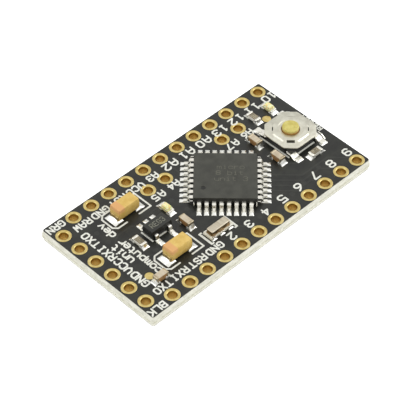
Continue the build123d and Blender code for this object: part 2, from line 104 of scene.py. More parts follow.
class Paint:
    # one material and its nodes
    def __init__(self, name, **sockets):
        self.material = bpy.data.materials.new(name)
        self.material.use_nodes = True
        self.tree = self.material.node_tree
        self.shader = self.tree.nodes["Principled BSDF"]
        for key, value in sockets.items():
            self.set(key, value)

    def set(self, key, value):
        names = {"base": "Base Color", "rough": "Roughness", "metal": "Metallic", "coat": "Coat Weight",
                 "coatRough": "Coat Roughness", "specular": "Specular IOR Level",
                 "subsurface": "Subsurface Weight", "subsurfaceScale": "Subsurface Scale",
                 "normal": "Normal"}
        self.feed(self.shader.inputs[names[key]], value)

    def feed(self, socket, value):
        if isinstance(value, Field):
            self.tree.links.new(value.socket, socket)
        elif socket.type == "RGBA" and len(value) == 3:
            socket.default_value = (*value, 1)
        else:
            socket.default_value = value

    def node(self, kind, settings=None, values=None, out=0):
        made = self.tree.nodes.new(kind)
        for key, value in (settings or {}).items():
            setattr(made, key, value)
        for key, value in (values or {}).items():
            self.feed(made.inputs[key], value)
        return Field(self, made.outputs[out])

    def place(self, stretch=(1, 1, 1)):
        # the point being shaded, in millimetres in the board's frame
        point = self.node("ShaderNodeTexCoord", out=3)
        scale = tuple(value / mm for value in stretch)
        return self.node("ShaderNodeVectorMath", {"operation": "MULTIPLY"}, {0: point, 1: scale})

    def axis(self, index):
        return self.node("ShaderNodeSeparateXYZ", values={0: self.place()}, out=index)

    def noise(self, scale, detail=3, roughness=0.5, stretch=(1, 1, 1)):
        values = {"Vector": self.place(stretch), "Scale": scale, "Detail": detail, "Roughness": roughness}
        return self.node("ShaderNodeTexNoise", {"noise_dimensions": "3D"}, values)

    def cells(self, scale):
        values = {"Vector": self.place(), "Scale": scale}
        return self.node("ShaderNodeTexVoronoi", {"feature": "F1"}, values)

    def spread(self, field, low, high, toLow=0.0, toHigh=1.0):
        values = {0: field, 1: low, 2: high, 3: toLow, 4: toHigh}
        return self.node("ShaderNodeMapRange", {"interpolation_type": "SMOOTHSTEP"}, values)

    def mix(self, factor, first, second):
        return self.node("ShaderNodeMix", {"data_type": "RGBA"}, {0: factor, 6: first, 7: second}, out=2)

    def mottle(self, field, low, high, dark, light):
        return self.mix(self.spread(field, low, high), dark, light)

    def roughen(self, field, smooth, rough):
        self.set("rough", self.spread(field, 0.3, 0.7, smooth, rough))

    def bump(self, height, distance, strength):
        # distance is in millimetres
        values = {"Strength": strength, "Distance": distance * mm, "Height": height}
        self.set("normal", self.node("ShaderNodeBump", values=values))


def srgb(red, green, blue):
    # screen values from 0 to 255, as linear light
    def linear(value):
        value /= 255
        return value / 12.92 if value <= 0.04045 else ((value + 0.055) / 1.055) ** 2.4
    return tuple(linear(value) for value in (red, green, blue))


class Stock:
    # gathers the points and faces of one piece
    def __init__(self):
        self.points = []
        self.faces = []
        self.slots = []

    def add(self, shape, place=None, slot=0):
        points, faces = shape
        points = np.asarray(points, float)
        if place is not None:
            turn = np.array(place)
            points = points @ turn[:3, :3].T + turn[:3, 3]
            if np.linalg.det(turn[:3, :3]) < 0:
                faces = [face[::-1] for face in faces]
        start = len(self.points)
        self.points.extend(points.tolist())
        self.faces.extend([[start + i for i in face] for face in faces])
        self.slots.extend([slot] * len(faces))
        return self

    def piece(self, name, paints, nodes=(), body="board", slot=None, angle=35):
        mesh = bpy.data.meshes.new(name)
        mesh.from_pydata([[value * mm for value in point] for point in self.points], [], self.faces)
        paints = paints if isinstance(paints, (list, tuple)) else [paints]
        for paint in paints:
            mesh.materials.append(paint.material)
        mesh.polygons.foreach_set("material_index", self.slots)
        mesh.validate()
        mesh.update()
        smoothByAngle(mesh, angle)
        made = bpy.data.objects.new(name, mesh)
        bpy.context.scene.collection.objects.link(made)
        if body:
            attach(made, body)
        if nodes:
            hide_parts(*([nodes] if isinstance(nodes, str) else nodes))
        return made


def smoothByAngle(mesh, angle):
    work = bmesh.new()
    work.from_mesh(mesh)
    bmesh.ops.recalc_face_normals(work, faces=work.faces)
    for face in work.faces:
        face.smooth = True
    for edge in work.edges:
        faces = edge.link_faces
        edge.smooth = len(faces) == 2 and edge.calc_face_angle(0) < math.radians(angle)
    work.to_mesh(mesh)
    work.free()


def at(x, y, z=0.0, turn=0.0):
    return Matrix.Translation((x, y, z)) @ Matrix.Rotation(math.radians(turn), 4, "Z")


def stack(loops, closed=False):
    # skins a run of loops of equal length; closed joins the last to the first, else both ends are capped
    count = len(loops[0])
    points = np.concatenate([np.asarray(loop, float) for loop in loops])
    faces = []
    pairs = list(zip(range(len(loops)), range(1, len(loops))))
    if closed:
        pairs.append((len(loops) - 1, 0))
    for low, high in pairs:
        for i in range(count):
            j = (i + 1) % count
            faces.append([low * count + i, low * count + j, high * count + j, high * count + i])
    if not closed:
        faces.append(list(range(count))[::-1])
        faces.append([(len(loops) - 1) * count + i for i in range(count)])
    return points, faces


def roundRect(length, width, radius, z=0.0, steps=4):
    radius = min(radius, length / 2 - 1e-4, width / 2 - 1e-4)
    loop = []
    for corner in range(4):
        x = (length / 2 - radius) * (1 if corner in (0, 3) else -1)
        y = (width / 2 - radius) * (1 if corner in (0, 1) else -1)
        for i in range(steps + 1):
            angle = math.pi / 2 * (corner + i / steps)
            loop.append((x + radius * math.cos(angle), y + radius * math.sin(angle), z))
    return loop


def circleLoop(radius, z, count=96):
    return [(radius * math.cos(2 * math.pi * i / count), radius * math.sin(2 * math.pi * i / count), z)
            for i in range(count)]


def quarterArc(steps):
    # (drop, inset) pairs along a rounded edge of radius 1, from its side up to its face
    angles = [math.pi / 2 * i / steps for i in range(steps + 1)]
    return [(1 - math.sin(angle), 1 - math.cos(angle)) for angle in angles]


def eased(low, high, edge, steps=3):
    # (height, inset) pairs that round the bottom and top edges of an upright solid
    arc = quarterArc(steps)
    pairs = [(low + edge * drop, edge * inset) for drop, inset in arc[::-1]]
    return pairs + [(high - edge * drop, edge * inset) for drop, inset in arc]


def easedBlock(length, width, low, high, corner=0.05, edge=0.03, lean=0.0):
    # an upright block with rounded corners and edges; lean draws it in above and below its middle
    middle = (low + high) / 2
    pairs = eased(low, high, edge)
    if lean:
        half = len(pairs) // 2
        pairs = pairs[:half] + [(middle, 0.0)] + pairs[half:]
    loops = []
    for z, inset in pairs:
        reach = high - middle if z > middle else middle - low
        drawn = inset + lean * abs(z - middle) / reach
        loops.append(roundRect(length - 2 * drawn, width - 2 * drawn, max(corner - inset / 2, 0.01), z))
    return stack(loops)


def polygonBlock(outline, low, high, edge):
    # an upright solid on a convex outline, with rounded top and bottom edges
    outline = np.asarray(outline, float)
    return stack([insetLoop(outline, inset, z) for z, inset in eased(low, high, edge)])


def insetLoop(outline, inset, z):
    # moves each side of a convex, counter-clockwise outline inwards
    count = len(outline)
    loop = []
    for i in range(count):
        before = outline[i] - outline[i - 1]
        after = outline[(i + 1) % count] - outline[i]
        before /= np.linalg.norm(before)
        after /= np.linalg.norm(after)
        normals = np.array([(-before[1], before[0]), (-after[1], after[0])])
        move = (normals[0] + normals[1]) / (1 + normals[0] @ normals[1]) * inset
        loop.append((outline[i][0] + move[0], outline[i][1] + move[1], z))
    return loop


def filletPath(points, radius, steps):
    # replaces the inner corners of a path by arcs
    points = [Vector(point) for point in points]
    made = [points[0]]
    for before, here, after in zip(points, points[1:], points[2:]):
        toBefore, toAfter = (before - here).normalized(), (after - here).normalized()
        half = toBefore.angle(toAfter) / 2
        # two arcs share the straight between them, so neither takes more than its half
        reach = min(radius / math.tan(half), (before - here).length * 0.49, (after - here).length * 0.49)
        bend = reach * math.tan(half)
        centre = here + (toBefore + toAfter).normalized() * (bend / math.sin(half))
        start, end = here + toBefore * reach, here + toAfter * reach
        sweep = math.pi - 2 * half
        for k in range(steps + 1):
            share = k / steps
            a, b = math.sin((1 - share) * sweep), math.sin(share * sweep)
            made.append(centre + ((start - centre) * a + (end - centre) * b) / math.sin(sweep))
    return made + [points[-1]]


def lathe(profile, steps=32, ring=True):
    # turns a profile of (radius, height) about Z; a ring's profile is closed
    if not ring:
        return stack([circleLoop(r, z, steps) for r, z in profile])
    loops = []
    for i in range(steps):
        angle = 2 * math.pi * i / steps
        loops.append([(r * math.cos(angle), r * math.sin(angle), z) for r, z in profile])
    return stack(loops, closed=True)


def shareAlong(shares, along):
    # reads evenly spaced shares at a place from 0 to 1
    return float(np.interp(along, np.linspace(0, 1, len(shares)), shares))


def bentStrip(path, width, thickness, edge=0.02, widths=(1, 1)):
    # a flat strip along a path of (along, height) points, its section's corners eased;
    # widths are shares of the width at even steps along the path
    path = [Vector(point) for point in path]
    thin = thickness / 2
    loops = []
    for i, point in enumerate(path):
        half = width / 2 * shareAlong(widths, i / (len(path) - 1))
        section = [(half - edge, thin), (half, thin - edge), (half, edge - thin), (half - edge, -thin),
                   (edge - half, -thin), (-half, edge - thin), (-half, thin - edge), (edge - half, thin)]
        ahead = path[min(i + 1, len(path) - 1)] - path[max(i - 1, 0)]
        ahead.normalize()
        side = Vector((-ahead.y, ahead.x))
        loops.append([(point.x + side.x * up, across, point.y + side.y * up) for across, up in section])
    return stack(loops)


def solderJoint(length, width, face, faceHeight, bed=0.03, widths=(1, 1)):
    # solder on a land: it climbs from the land's +X end to faceHeight at x = face, the terminal's end;
    # widths are shares of the width at even steps along it
    fillet = {"rows": 16, "columns": 10, "hollow": 1.7, "underTerminal": 0.75, "endRoll": 10,
              "sideRoll": 3.2, "sideSlope": 0.6, "lift": 0.002}
    rows, columns = fillet["rows"], fillet["columns"]
    top = np.zeros((rows + 1, columns + 1, 3))
    for i in range(rows + 1):
        x = -length / 2 + length * i / rows
        climb = fillet["underTerminal"]
        if x >= face:
            climb = (1 - (x - face) / (length / 2 - face)) ** fillet["hollow"]
        height = bed + (faceHeight - bed) * climb
        roll = math.sqrt(max(0.0, 1 - abs(2 * x / length) ** fillet["endRoll"]))
        spread = width / 2 * shareAlong(widths, i / rows)
        for j in range(columns + 1):
            across = math.sin((-1 + 2 * j / columns) * math.pi / 2)
            shoulder = max(0.0, 1 - abs(across) ** fillet["sideRoll"]) ** fillet["sideSlope"]
            top[i, j] = (x, across * spread, landTop + height * roll * shoulder + fillet["lift"])
    return sheetSolid(top, landTop)


def sheetSolid(top, base):
    # closes a grid of top points down to a flat base
    rows, columns = top.shape[0] - 1, top.shape[1] - 1
    count = (rows + 1) * (columns + 1)
    under = top.copy()
    under[:, :, 2] = base
    points = np.concatenate([top.reshape(-1, 3), under.reshape(-1, 3)])
    index = np.arange(count).reshape(rows + 1, columns + 1)
    faces = []
    for i in range(rows):
        for j in range(columns):
            quad = [index[i, j], index[i + 1, j], index[i + 1, j + 1], index[i, j + 1]]
            faces.append(quad)
            faces.append([value + count for value in quad[::-1]])
    rim = [*index[0, :], *index[1:, -1], *index[-1, -2::-1], *index[-2:0:-1, 0]]
    for first, second in zip(rim, rim[1:] + rim[:1]):
        faces.append([first, second, second + count, first + count])
    return points, [[int(value) for value in face] for face in faces]


def capsule(start, end, radius, steps=7):
    # the outline that a round pen leaves between two points
    heading = math.atan2(end[1] - start[1], end[0] - start[0])
    outline = []
    for centre, turn in ((end, heading - math.pi / 2), (start, heading + math.pi / 2)):
        for i in range(steps + 1):
            angle = turn + math.pi * i / steps
            outline.append((centre[0] + radius * math.cos(angle), centre[1] + radius * math.sin(angle)))
    return outline


def inkShape(strokes, pen, low, high):
    # the union of the pen's strokes, as a thin closed solid
    points, faces = [], []
    for stroke in strokes:
        for start, end in zip(stroke, stroke[1:]):
            outline = capsule(start, end, pen / 2)
            faces.append(list(range(len(points), len(points) + len(outline))))
            points.extend(Vector(point) for point in outline)
    flat, _, cells, _, _, sources = delaunay_2d_cdt(points, [], faces, 1, 1e-5)
    cells = [list(cell) for cell, source in zip(cells, sources) if source]
    used = sorted({i for cell in cells for i in cell})
    order = {old: new for new, old in enumerate(used)}
    cells = [[order[i] for i in cell] for cell in cells]
    count = len(used)
    solid = [(flat[i][0], flat[i][1], high) for i in used] + [(flat[i][0], flat[i][1], low) for i in used]
    return solid, slabFaces(cells, count)


def slabFaces(cells, count):
    # the faces of a slab: its top cells, the same below on points numbered count higher, and its sides
    sides = dict.fromkeys((a, b) for cell in cells for a, b in zip(cell, cell[1:] + cell[:1]))
    faces = cells + [[i + count for i in cell[::-1]] for cell in cells]
    return faces + [[b, a, a + count, b + count] for a, b in sides if (b, a) not in sides]


def cutAway(piece, tool, angle=35):
    # takes a tool's shape out of a piece, then bins the tool
    cut = piece.modifiers.new("cut", "BOOLEAN")
    cut.operation = "DIFFERENCE"
    cut.object = tool
    cut.solver = "EXACT"
    bpy.context.view_layer.update()
    result = bpy.data.meshes.new_from_object(piece.evaluated_get(bpy.context.evaluated_depsgraph_get()))
    piece.modifiers.remove(cut)
    old = piece.data
    piece.data = result
    bpy.data.meshes.remove(old)
    bpy.data.objects.remove(tool)
    smoothByAngle(result, angle)


def laminateFinish():
    # glass cloth in cream resin; the edge is rough along the line where the panel was snapped
    finish = {"pale": srgb(220, 219, 206), "dull": srgb(200, 199, 184), "fibre": srgb(231, 230, 220),
              "snapped": srgb(184, 182, 160), "band": 0.2, "bandFade": 0.12}
    paint = Paint("laminate", specular=0.3)
    layers = paint.noise(0.8, 4, 0.6, stretch=(1, 1, 4))
    bundles = paint.noise(3.4, 5, 0.65)
    body = paint.mottle(layers, 0.36, 0.64, finish["dull"], finish["pale"])
    body = paint.mix(paint.spread(bundles, 0.52, 0.7) * 0.6, body, finish["fibre"])
    away = abs(paint.axis(2) - (boardLow.z + boardHigh.z) / 2 / mm)
    snapped = paint.spread(away + (bundles - 0.5) * 0.7, finish["band"] - finish["bandFade"],
                           finish["band"] + finish["bandFade"], 1, 0)
    paint.set("base", paint.mix(snapped * paint.spread(bundles, 0.4, 0.6), body, finish["snapped"]))
    paint.roughen(bundles, 0.5, 0.75)
    paint.bump(bundles * (0.35 + snapped * 0.65), 0.06, 0.8)
    return paint


def maskFinish(name, lift=0.0):
    # black varnish; lift makes it paler where it runs over copper
    finish = {"deep": srgb(21, 22, 17), "worn": srgb(35, 36, 29), "overCopper": srgb(90, 90, 84)}
    paint = Paint(name, specular=0.5)
    cloud = paint.noise(0.9, 4, 0.55)
    grain = paint.noise(9.0, 3, 0.6)
    tone = paint.mottle(cloud, 0.35, 0.68, finish["deep"], finish["worn"])
    paint.set("base", paint.mix(lift, tone, finish["overCopper"]))
    paint.roughen(grain, 0.3, 0.42)
    paint.bump(grain * 0.35 + cloud * 0.65, 0.012, 0.6)
    return paint


def goldFinish():
    # pale immersion gold; painted shade makes the bore of a hole brown, darkest just under the rim and paler
    # deeper down
    finish = {"gold": srgb(227, 207, 140), "shade": srgb(210, 187, 117), "rimShade": srgb(174, 142, 66),
              "bore": srgb(202, 171, 96)}
    paint = Paint("gold", metal=1.0)
    cloud = paint.noise(2.2, 4, 0.6)
    grain = paint.noise(22, 2, 0.5)
    face = paint.mottle(cloud, 0.35, 0.65, finish["shade"], finish["gold"])
    height = paint.axis(2)
    above = paint.spread(height, maskTop - 0.07, maskTop + 0.01)
    below = paint.spread(height, maskBottom, maskBottom + 0.07, 1, 0)
    # painted shade in the bore: the rim shade colour just under the rim, the paler bore colour deeper in
    deep = paint.spread(height, maskTop - 0.5, maskTop - 0.12, 1, 0)
    wall = paint.mix(deep, finish["rimShade"], finish["bore"])
    paint.set("base", paint.mix(above + below, wall, face))
    paint.set("rough", paint.spread(cloud, 0.3, 0.7, 0.28, 0.4) + deep * 0.2)
    paint.bump(grain * 0.3 + cloud * 0.7, 0.01, 0.5)
    return paint


def metalFinish(name, bright, dull, rough=(0.14, 0.3), scale=2.0, bumpHeight=0.008):
    paint = Paint(name, metal=1.0)
    cloud = paint.noise(scale, 4, 0.55)
    grain = paint.noise(scale * 9, 2, 0.5)
    paint.set("base", paint.mottle(cloud, 0.32, 0.68, dull, bright))
    paint.roughen(cloud, *rough)
    paint.bump(grain * 0.4 + cloud * 0.6, bumpHeight, 0.6)
    return paint


def canFinish():
    # a drawn steel can, brushed across and beige on top; painted shade and reflection make its sides dark
    # bronze
    finish = {"top": srgb(218, 210, 190), "topDark": srgb(198, 187, 164), "side": srgb(120, 98, 66),
              "shadedSideFrom": 2.29}
    paint = Paint("canSteel", metal=1.0)
    strokes = paint.noise(1.4, 4, 0.6, (4, 0.3, 1))
    # painted shade and reflection: below this height the sides take the dark bronze side colour
    litTop = paint.spread(paint.axis(2), finish["shadedSideFrom"] - 0.05, finish["shadedSideFrom"])
    top = paint.mottle(strokes, 0.34, 0.66, finish["topDark"], finish["top"])
    paint.set("base", paint.mix(litTop, finish["side"], top))
    paint.roughen(strokes, 0.28, 0.42)
    paint.bump(strokes, 0.008, 0.5)
    return paint


def inkFinish():
    paint = Paint("legendInk", specular=0.3)
    cloud = paint.noise(3.0, 3, 0.6)
    paint.set("base", paint.mottle(cloud, 0.3, 0.7, srgb(214, 215, 203), srgb(234, 234, 226)))
    paint.roughen(cloud, 0.45, 0.6)
    paint.bump(paint.noise(30, 2, 0.6), 0.006, 0.5)
    return paint


def mouldFinish(name, dark, light, rough=(0.42, 0.55), top=None):
    # black moulding compound with a fine spark-eroded texture; painted shade takes its sides towards near
    # black below the height of its top
    paint = Paint(name, specular=0.5)
    grain = paint.noise(24, 3, 0.65)
    cloud = paint.noise(0.8, 3, 0.5)
    body = paint.mottle(grain * 0.4 + cloud * 0.6, 0.36, 0.62, dark, light)
    if top:
        # painted shade: the sides, below the top's height, are mixed towards near black
        below = paint.spread(paint.axis(2), top - 0.09, top - 0.03, 0.75, 0)
        body = paint.mix(below, body, srgb(12, 12, 10))
    paint.set("base", body)
    paint.roughen(grain, *rough)
    paint.bump(grain, 0.012, 0.7)
    return paint


def ceramicFinish(name, light, dark, rough=0.4, coat=0.0, speckle=14):
    paint = Paint(name, rough=rough, coat=coat, coatRough=0.2)
    grain = paint.noise(speckle, 3, 0.65)
    cloud = paint.noise(1.6, 3, 0.5)
    paint.set("base", paint.mottle(grain * 0.45 + cloud * 0.55, 0.36, 0.62, dark, light))
    paint.bump(grain, 0.01, 0.6)
    return paint


def capacitorFinish():
    # fired ceramic, brown, with a painted sheen that makes its top greyer and paler
    finish = {"side": srgb(164, 124, 76), "sideDark": srgb(138, 102, 60), "top": srgb(204, 192, 168),
              "topDark": srgb(180, 164, 138), "height": 2.15}
    paint = Paint("capacitorCeramic", rough=0.38, coat=0.2, coatRough=0.2)
    grain = paint.noise(14, 3, 0.65)
    cloud = paint.noise(1.6, 3, 0.5)
    mottle = paint.spread(grain * 0.45 + cloud * 0.55, 0.36, 0.62)
    sides = paint.mix(mottle, finish["sideDark"], finish["side"])
    above = paint.mix(mottle, finish["topDark"], finish["top"])
    # painted sheen: above this height the top takes the paler, greyer top colour
    litTop = paint.spread(paint.axis(2), finish["height"] - 0.03, finish["height"] + 0.02)
    paint.set("base", paint.mix(litTop, sides, above))
    paint.bump(grain, 0.01, 0.6)
    return paint


def tantalumFinish(markedEnd):
    # gold epoxy with a broad tan polarity mark over one end of each capacitor, near x = markedEnd
    finish = {"gold": srgb(222, 190, 108), "shade": srgb(206, 170, 84), "mark": srgb(218, 162, 106),
              "markWidth": 0.9, "fade": 0.07, "markLow": 2.35, "markHigh": 2.85}
    paint = Paint("tantalumCase", rough=0.46, specular=0.45)
    grain = paint.noise(20, 3, 0.6)
    cloud = paint.noise(1.3, 4, 0.6)
    body = paint.mottle(grain * 0.35 + cloud * 0.65, 0.36, 0.64, finish["shade"], finish["gold"])
    edge = markedEnd + finish["markWidth"]
    ragged = paint.axis(0) + (cloud - 0.5) * 0.2
    marked = paint.spread(ragged, edge - finish["fade"], edge + finish["fade"], 1, 0)
    raggedHeight = paint.axis(2) + (cloud - 0.5) * 0.3
    marked = marked * paint.spread(raggedHeight, finish["markLow"], finish["markHigh"])
    paint.set("base", paint.mix(marked * 0.85, body, finish["mark"]))
    paint.roughen(grain, 0.4, 0.54)
    paint.bump(grain, 0.01, 0.6)
    return paint


def lensFinish():
    finish = {"resin": srgb(226, 212, 138), "milky": srgb(240, 234, 188)}
    paint = Paint("lensResin", rough=0.3, coat=0.3, coatRough=0.15,
                  subsurface=0.35, subsurfaceScale=0.3 * mm)
    cloud = paint.noise(3.6, 4, 0.6)
    paint.set("base", paint.mottle(cloud, 0.4, 0.6, finish["resin"], finish["milky"]))
    paint.bump(paint.cells(3.4) * 0.6 + cloud * 0.4, 0.05, 0.7)
    return paint


def plungerFinish():
    # yellow nylon; painted shade makes it browner low on the stem
    finish = {"face": srgb(208, 196, 112), "shade": srgb(190, 175, 86), "stem": srgb(176, 122, 62),
              "stemTop": 2.84, "stemFade": 0.08}
    paint = Paint("plungerPlastic", subsurface=0.05, subsurfaceScale=0.2 * mm)
    cloud = paint.noise(1.8, 4, 0.6)
    grain = paint.noise(18, 3, 0.6)
    body = paint.mottle(cloud, 0.36, 0.64, finish["shade"], finish["face"])
    # painted shade: below the stem's top height the plunger is mixed towards brown
    low = paint.spread(paint.axis(2), finish["stemTop"] - finish["stemFade"], finish["stemTop"], 1, 0)
    paint.set("base", paint.mix(low * 0.8, body, finish["stem"]))
    paint.roughen(grain, 0.36, 0.5)
    paint.bump(grain * 0.5 + cloud * 0.5, 0.012, 0.6)
    return paint


laminate = laminateFinish()
mask = maskFinish("solderMask")
maskOverCopper = maskFinish("solderMaskOverCopper", 0.1)
gold = goldFinish()
tin = metalFinish("tinPlate", srgb(252, 250, 241), srgb(234, 231, 218), (0.22, 0.38), 3.0)
solder = metalFinish("solder", srgb(255, 255, 250), srgb(242, 242, 234), (0.22, 0.38), 2.4)
capMetal = metalFinish("capMetal", srgb(212, 200, 174), srgb(180, 164, 134), (0.3, 0.45), 3.0)
# the tantalum capacitors' tin-plated tabs, coloured dark brown for painted shade and reflection
shadedTabMetal = metalFinish("shadedTabMetal", srgb(186, 164, 112), srgb(140, 118, 72), (0.3, 0.45), 3.0)
coverSteel = metalFinish("coverSteel", srgb(228, 226, 211), srgb(212, 209, 193), (0.34, 0.44), 1.6, 0.006)
canSteel = canFinish()
copper = metalFinish("copper", srgb(214, 140, 98), srgb(186, 110, 72))
ink = inkFinish()
mcuMould = mouldFinish("mcuMould", srgb(50, 50, 43), srgb(65, 65, 57), top=heights("mcu_body")[1])
regulatorMould = mouldFinish("regulatorMould", srgb(28, 29, 25), srgb(44, 45, 39),
                             top=heights("regulator_body")[1])
switchPlastic = mouldFinish("switchPlastic", srgb(18, 18, 17), srgb(30, 30, 29), (0.35, 0.5))
lampCarrier = ceramicFinish("lampCarrier", srgb(226, 216, 166), srgb(204, 192, 140), 0.5)
alumina = ceramicFinish("alumina", srgb(238, 236, 226), srgb(216, 212, 196), 0.5)
capacitorCeramic = capacitorFinish()
resonatorCeramic = ceramicFinish("resonatorCeramic", srgb(230, 226, 208), srgb(206, 200, 178), 0.5)
glassCoat = ceramicFinish("glassCoat", srgb(168, 160, 134), srgb(112, 104, 82), 0.3, 0.4, 7)
coatBorder = ceramicFinish("coatBorder", srgb(104, 84, 54), srgb(72, 58, 38), 0.4, 0.2, 9)
markInk = ceramicFinish("markInk", srgb(120, 120, 106), srgb(96, 96, 84), 0.5, 0.0, 9)
etchedMark = ceramicFinish("etchedMark", srgb(94, 94, 81), srgb(80, 80, 69), 0.6, 0.0, 9)
silicon = metalFinish("silicon", srgb(120, 120, 132), srgb(84, 84, 96), (0.1, 0.2))
lensResin = lensFinish()
plungerPlastic = plungerFinish()
powder = ceramicFinish("tantalumPowder", srgb(96, 96, 98), srgb(60, 60, 62), 0.8)
tantalumCase = tantalumFinish(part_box("input_tantalum_body")[0].x / mm)
print("finishes made:", len(bpy.data.materials))


def finishNodes(paint, *nodes):
    # gives carried-over CAD nodes their finish
    for node in nodes:
        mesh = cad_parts[node].data
        mesh.materials.clear()
        mesh.materials.append(paint.material)


def bareBoard():
    finishNodes(laminate, "board_core")
    finishNodes(mask, "solder_mask_top", "solder_mask_bottom")
    finishNodes(copper, "copper_traces")
    finishNodes(tin, "component_lands")
    finishNodes(ink, "legend_outlines")


ringNodes = ["near_row_pin_holes", "far_row_pin_holes", "header_pin_holes", "inner_pin_holes"]


def traceRidges():
    # the mask stands a little proud over each track, and looks paler there
    ridge = {"height": 0.006, "sink": 0.004, "clearRadius": 0.84, "clearReach": 0.05}
    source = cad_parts["copper_traces"].data
    top = max(vertex.co.z for vertex in source.vertices)
    flat = [face for face in source.polygons
            if all(abs(source.vertices[i].co.z - top) < 1e-7 for i in face.vertices)]
    places = {}  # welds the faces' corners by their place, and numbers them
    faces = []
    for face in flat:
        cell = []
        for i in face.vertices:
            co = source.vertices[i].co
            cell.append(places.setdefault((round(co.x / mm, 4), round(co.y / mm, 4)), len(places)))
        if len(set(cell)) == len(cell):
            faces.append(cell)
    levels = (maskTop + ridge["height"], maskTop - ridge["sink"])
    solid = [(x, y, level) for level in levels for x, y in places]
    made = Stock().add((solid, slabFaces(faces, len(places)))).piece(
        "maskOverTraces", maskOverCopper, slot="solder_mask")
    # the mask stops short of every hole's ring
    holes = Stock()
    rod = stack([circleLoop(ridge["clearRadius"], maskTop + reach, 24)
                 for reach in (-ridge["clearReach"], ridge["clearReach"])])
    for node in ringNodes:
        for x, y in solidMiddles(node):
            holes.add(rod, at(x, y))
    cutAway(made, holes.piece("ringTool", mask))


def pinHoles():
    # plated holes: a rolled ring on each face, flowing into the bore
    hole = {"bore": 0.5, "outer": 0.87, "ringHeight": 0.012, "roll": 0.15, "outerEdge": (0.05, 0.03),
            "wall": 0.055, "ringUnder": 0.02, "lowerRing": 0.04, "lowerRise": 0.004}
    high, low = maskTop + hole["ringHeight"], maskBottom + hole["lowerRise"]
    bore, outer, roll = hole["bore"], hole["outer"], hole["roll"]
    across, down = hole["outerEdge"]
    ringUnder, lowerRing = landTop - hole["ringUnder"], maskBottom + hole["lowerRing"]
    arc = quarterArc(4)
    profile = [(bore + roll * b, high - roll * a) for a, b in arc]
    profile += [(outer - across * a, high - down * b) for a, b in arc]
    profile += [(outer, ringUnder), (bore + hole["wall"], ringUnder), (bore + hole["wall"], lowerRing),
                (outer, lowerRing), (outer - 0.02, low)]
    profile += [(bore + roll * a, low + roll * b) for a, b in arc]
    shape = lathe(profile, 40)
    for node in ringNodes:
        work = Stock()
        for x, y in solidMiddles(node):
            work.add(shape, at(x, y))
        work.piece(node + "Plating", gold, node, slot="gold_plating", angle=50)


def solidMiddles(node):
    # the middle of each separate solid of a node, found from its loose parts
    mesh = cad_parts[node].data
    work = bmesh.new()
    work.from_mesh(mesh)
    bmesh.ops.remove_doubles(work, verts=work.verts, dist=1e-7)
    work.verts.ensure_lookup_table()
    seen, middles = set(), []
    for start in work.verts:
        if start.index in seen:
            continue
        seen.add(start.index)
        group, edge = [], [start]
        while edge:
            vertex = edge.pop()
            group.append(vertex.co.copy())
            for link in vertex.link_edges:
                other = link.other_vert(vertex)
                if other.index not in seen:
                    seen.add(other.index)
                    edge.append(other)
        spans = [[point[i] for point in group] for i in range(2)]
        middles.append(tuple((min(span) + max(span)) / 2 / mm for span in spans))
    work.free()
    return middles


def fiducials():
    dot = {"radius": 0.5, "rise": 0.016, "flat": 0.7, "edge": 0.03, "sink": 0.02}
    radius, top, under = dot["radius"], landTop + dot["rise"], landTop - dot["sink"]
    profile = [(nearAxis, top), (radius * dot["flat"], top), (radius - dot["edge"], top - 0.004),
               (radius, top - 0.02), (radius, under), (nearAxis, under)]
    shape = lathe(profile, 32)
    work = Stock()
    for x, y in solidMiddles("fiducial_marks"):
        work.add(shape, at(x, y))
    work.piece("fiducialDots", gold, "fiducial_marks", slot="gold_plating", angle=50)


def tentedVias():
    # small plated holes under the mask: a low ring with a dip in the middle
    via = {"outer": 0.3, "rim": 0.21, "inner": 0.12, "rise": 0.012, "dip": 0.001, "sink": 0.01,
           "places": [(-12.5, 2.4), (-9.7, -1.95), (-5.7, -1.55), (-0.6, -4.85), (-3.2, 0.0),
                      (-3.5, 2.1), (-12.5, 4.15), (8.6, -5.9), (6.4, -6.3), (11.4, -5.5),
                      (1.5, -6.2), (8.7, 3.6)]}
    dip, under = maskTop + via["dip"], maskTop - via["sink"]
    shape = lathe([(nearAxis, dip), (via["inner"], dip + 0.001), (via["rim"], maskTop + via["rise"]),
                   (via["outer"], dip), (via["outer"], under), (nearAxis, under)], 20)
    work = Stock()
    for x, y in via["places"]:
        work.add(shape, at(x, y))
    work.piece("tentedVias", maskOverCopper, slot="solder_mask", angle=60)


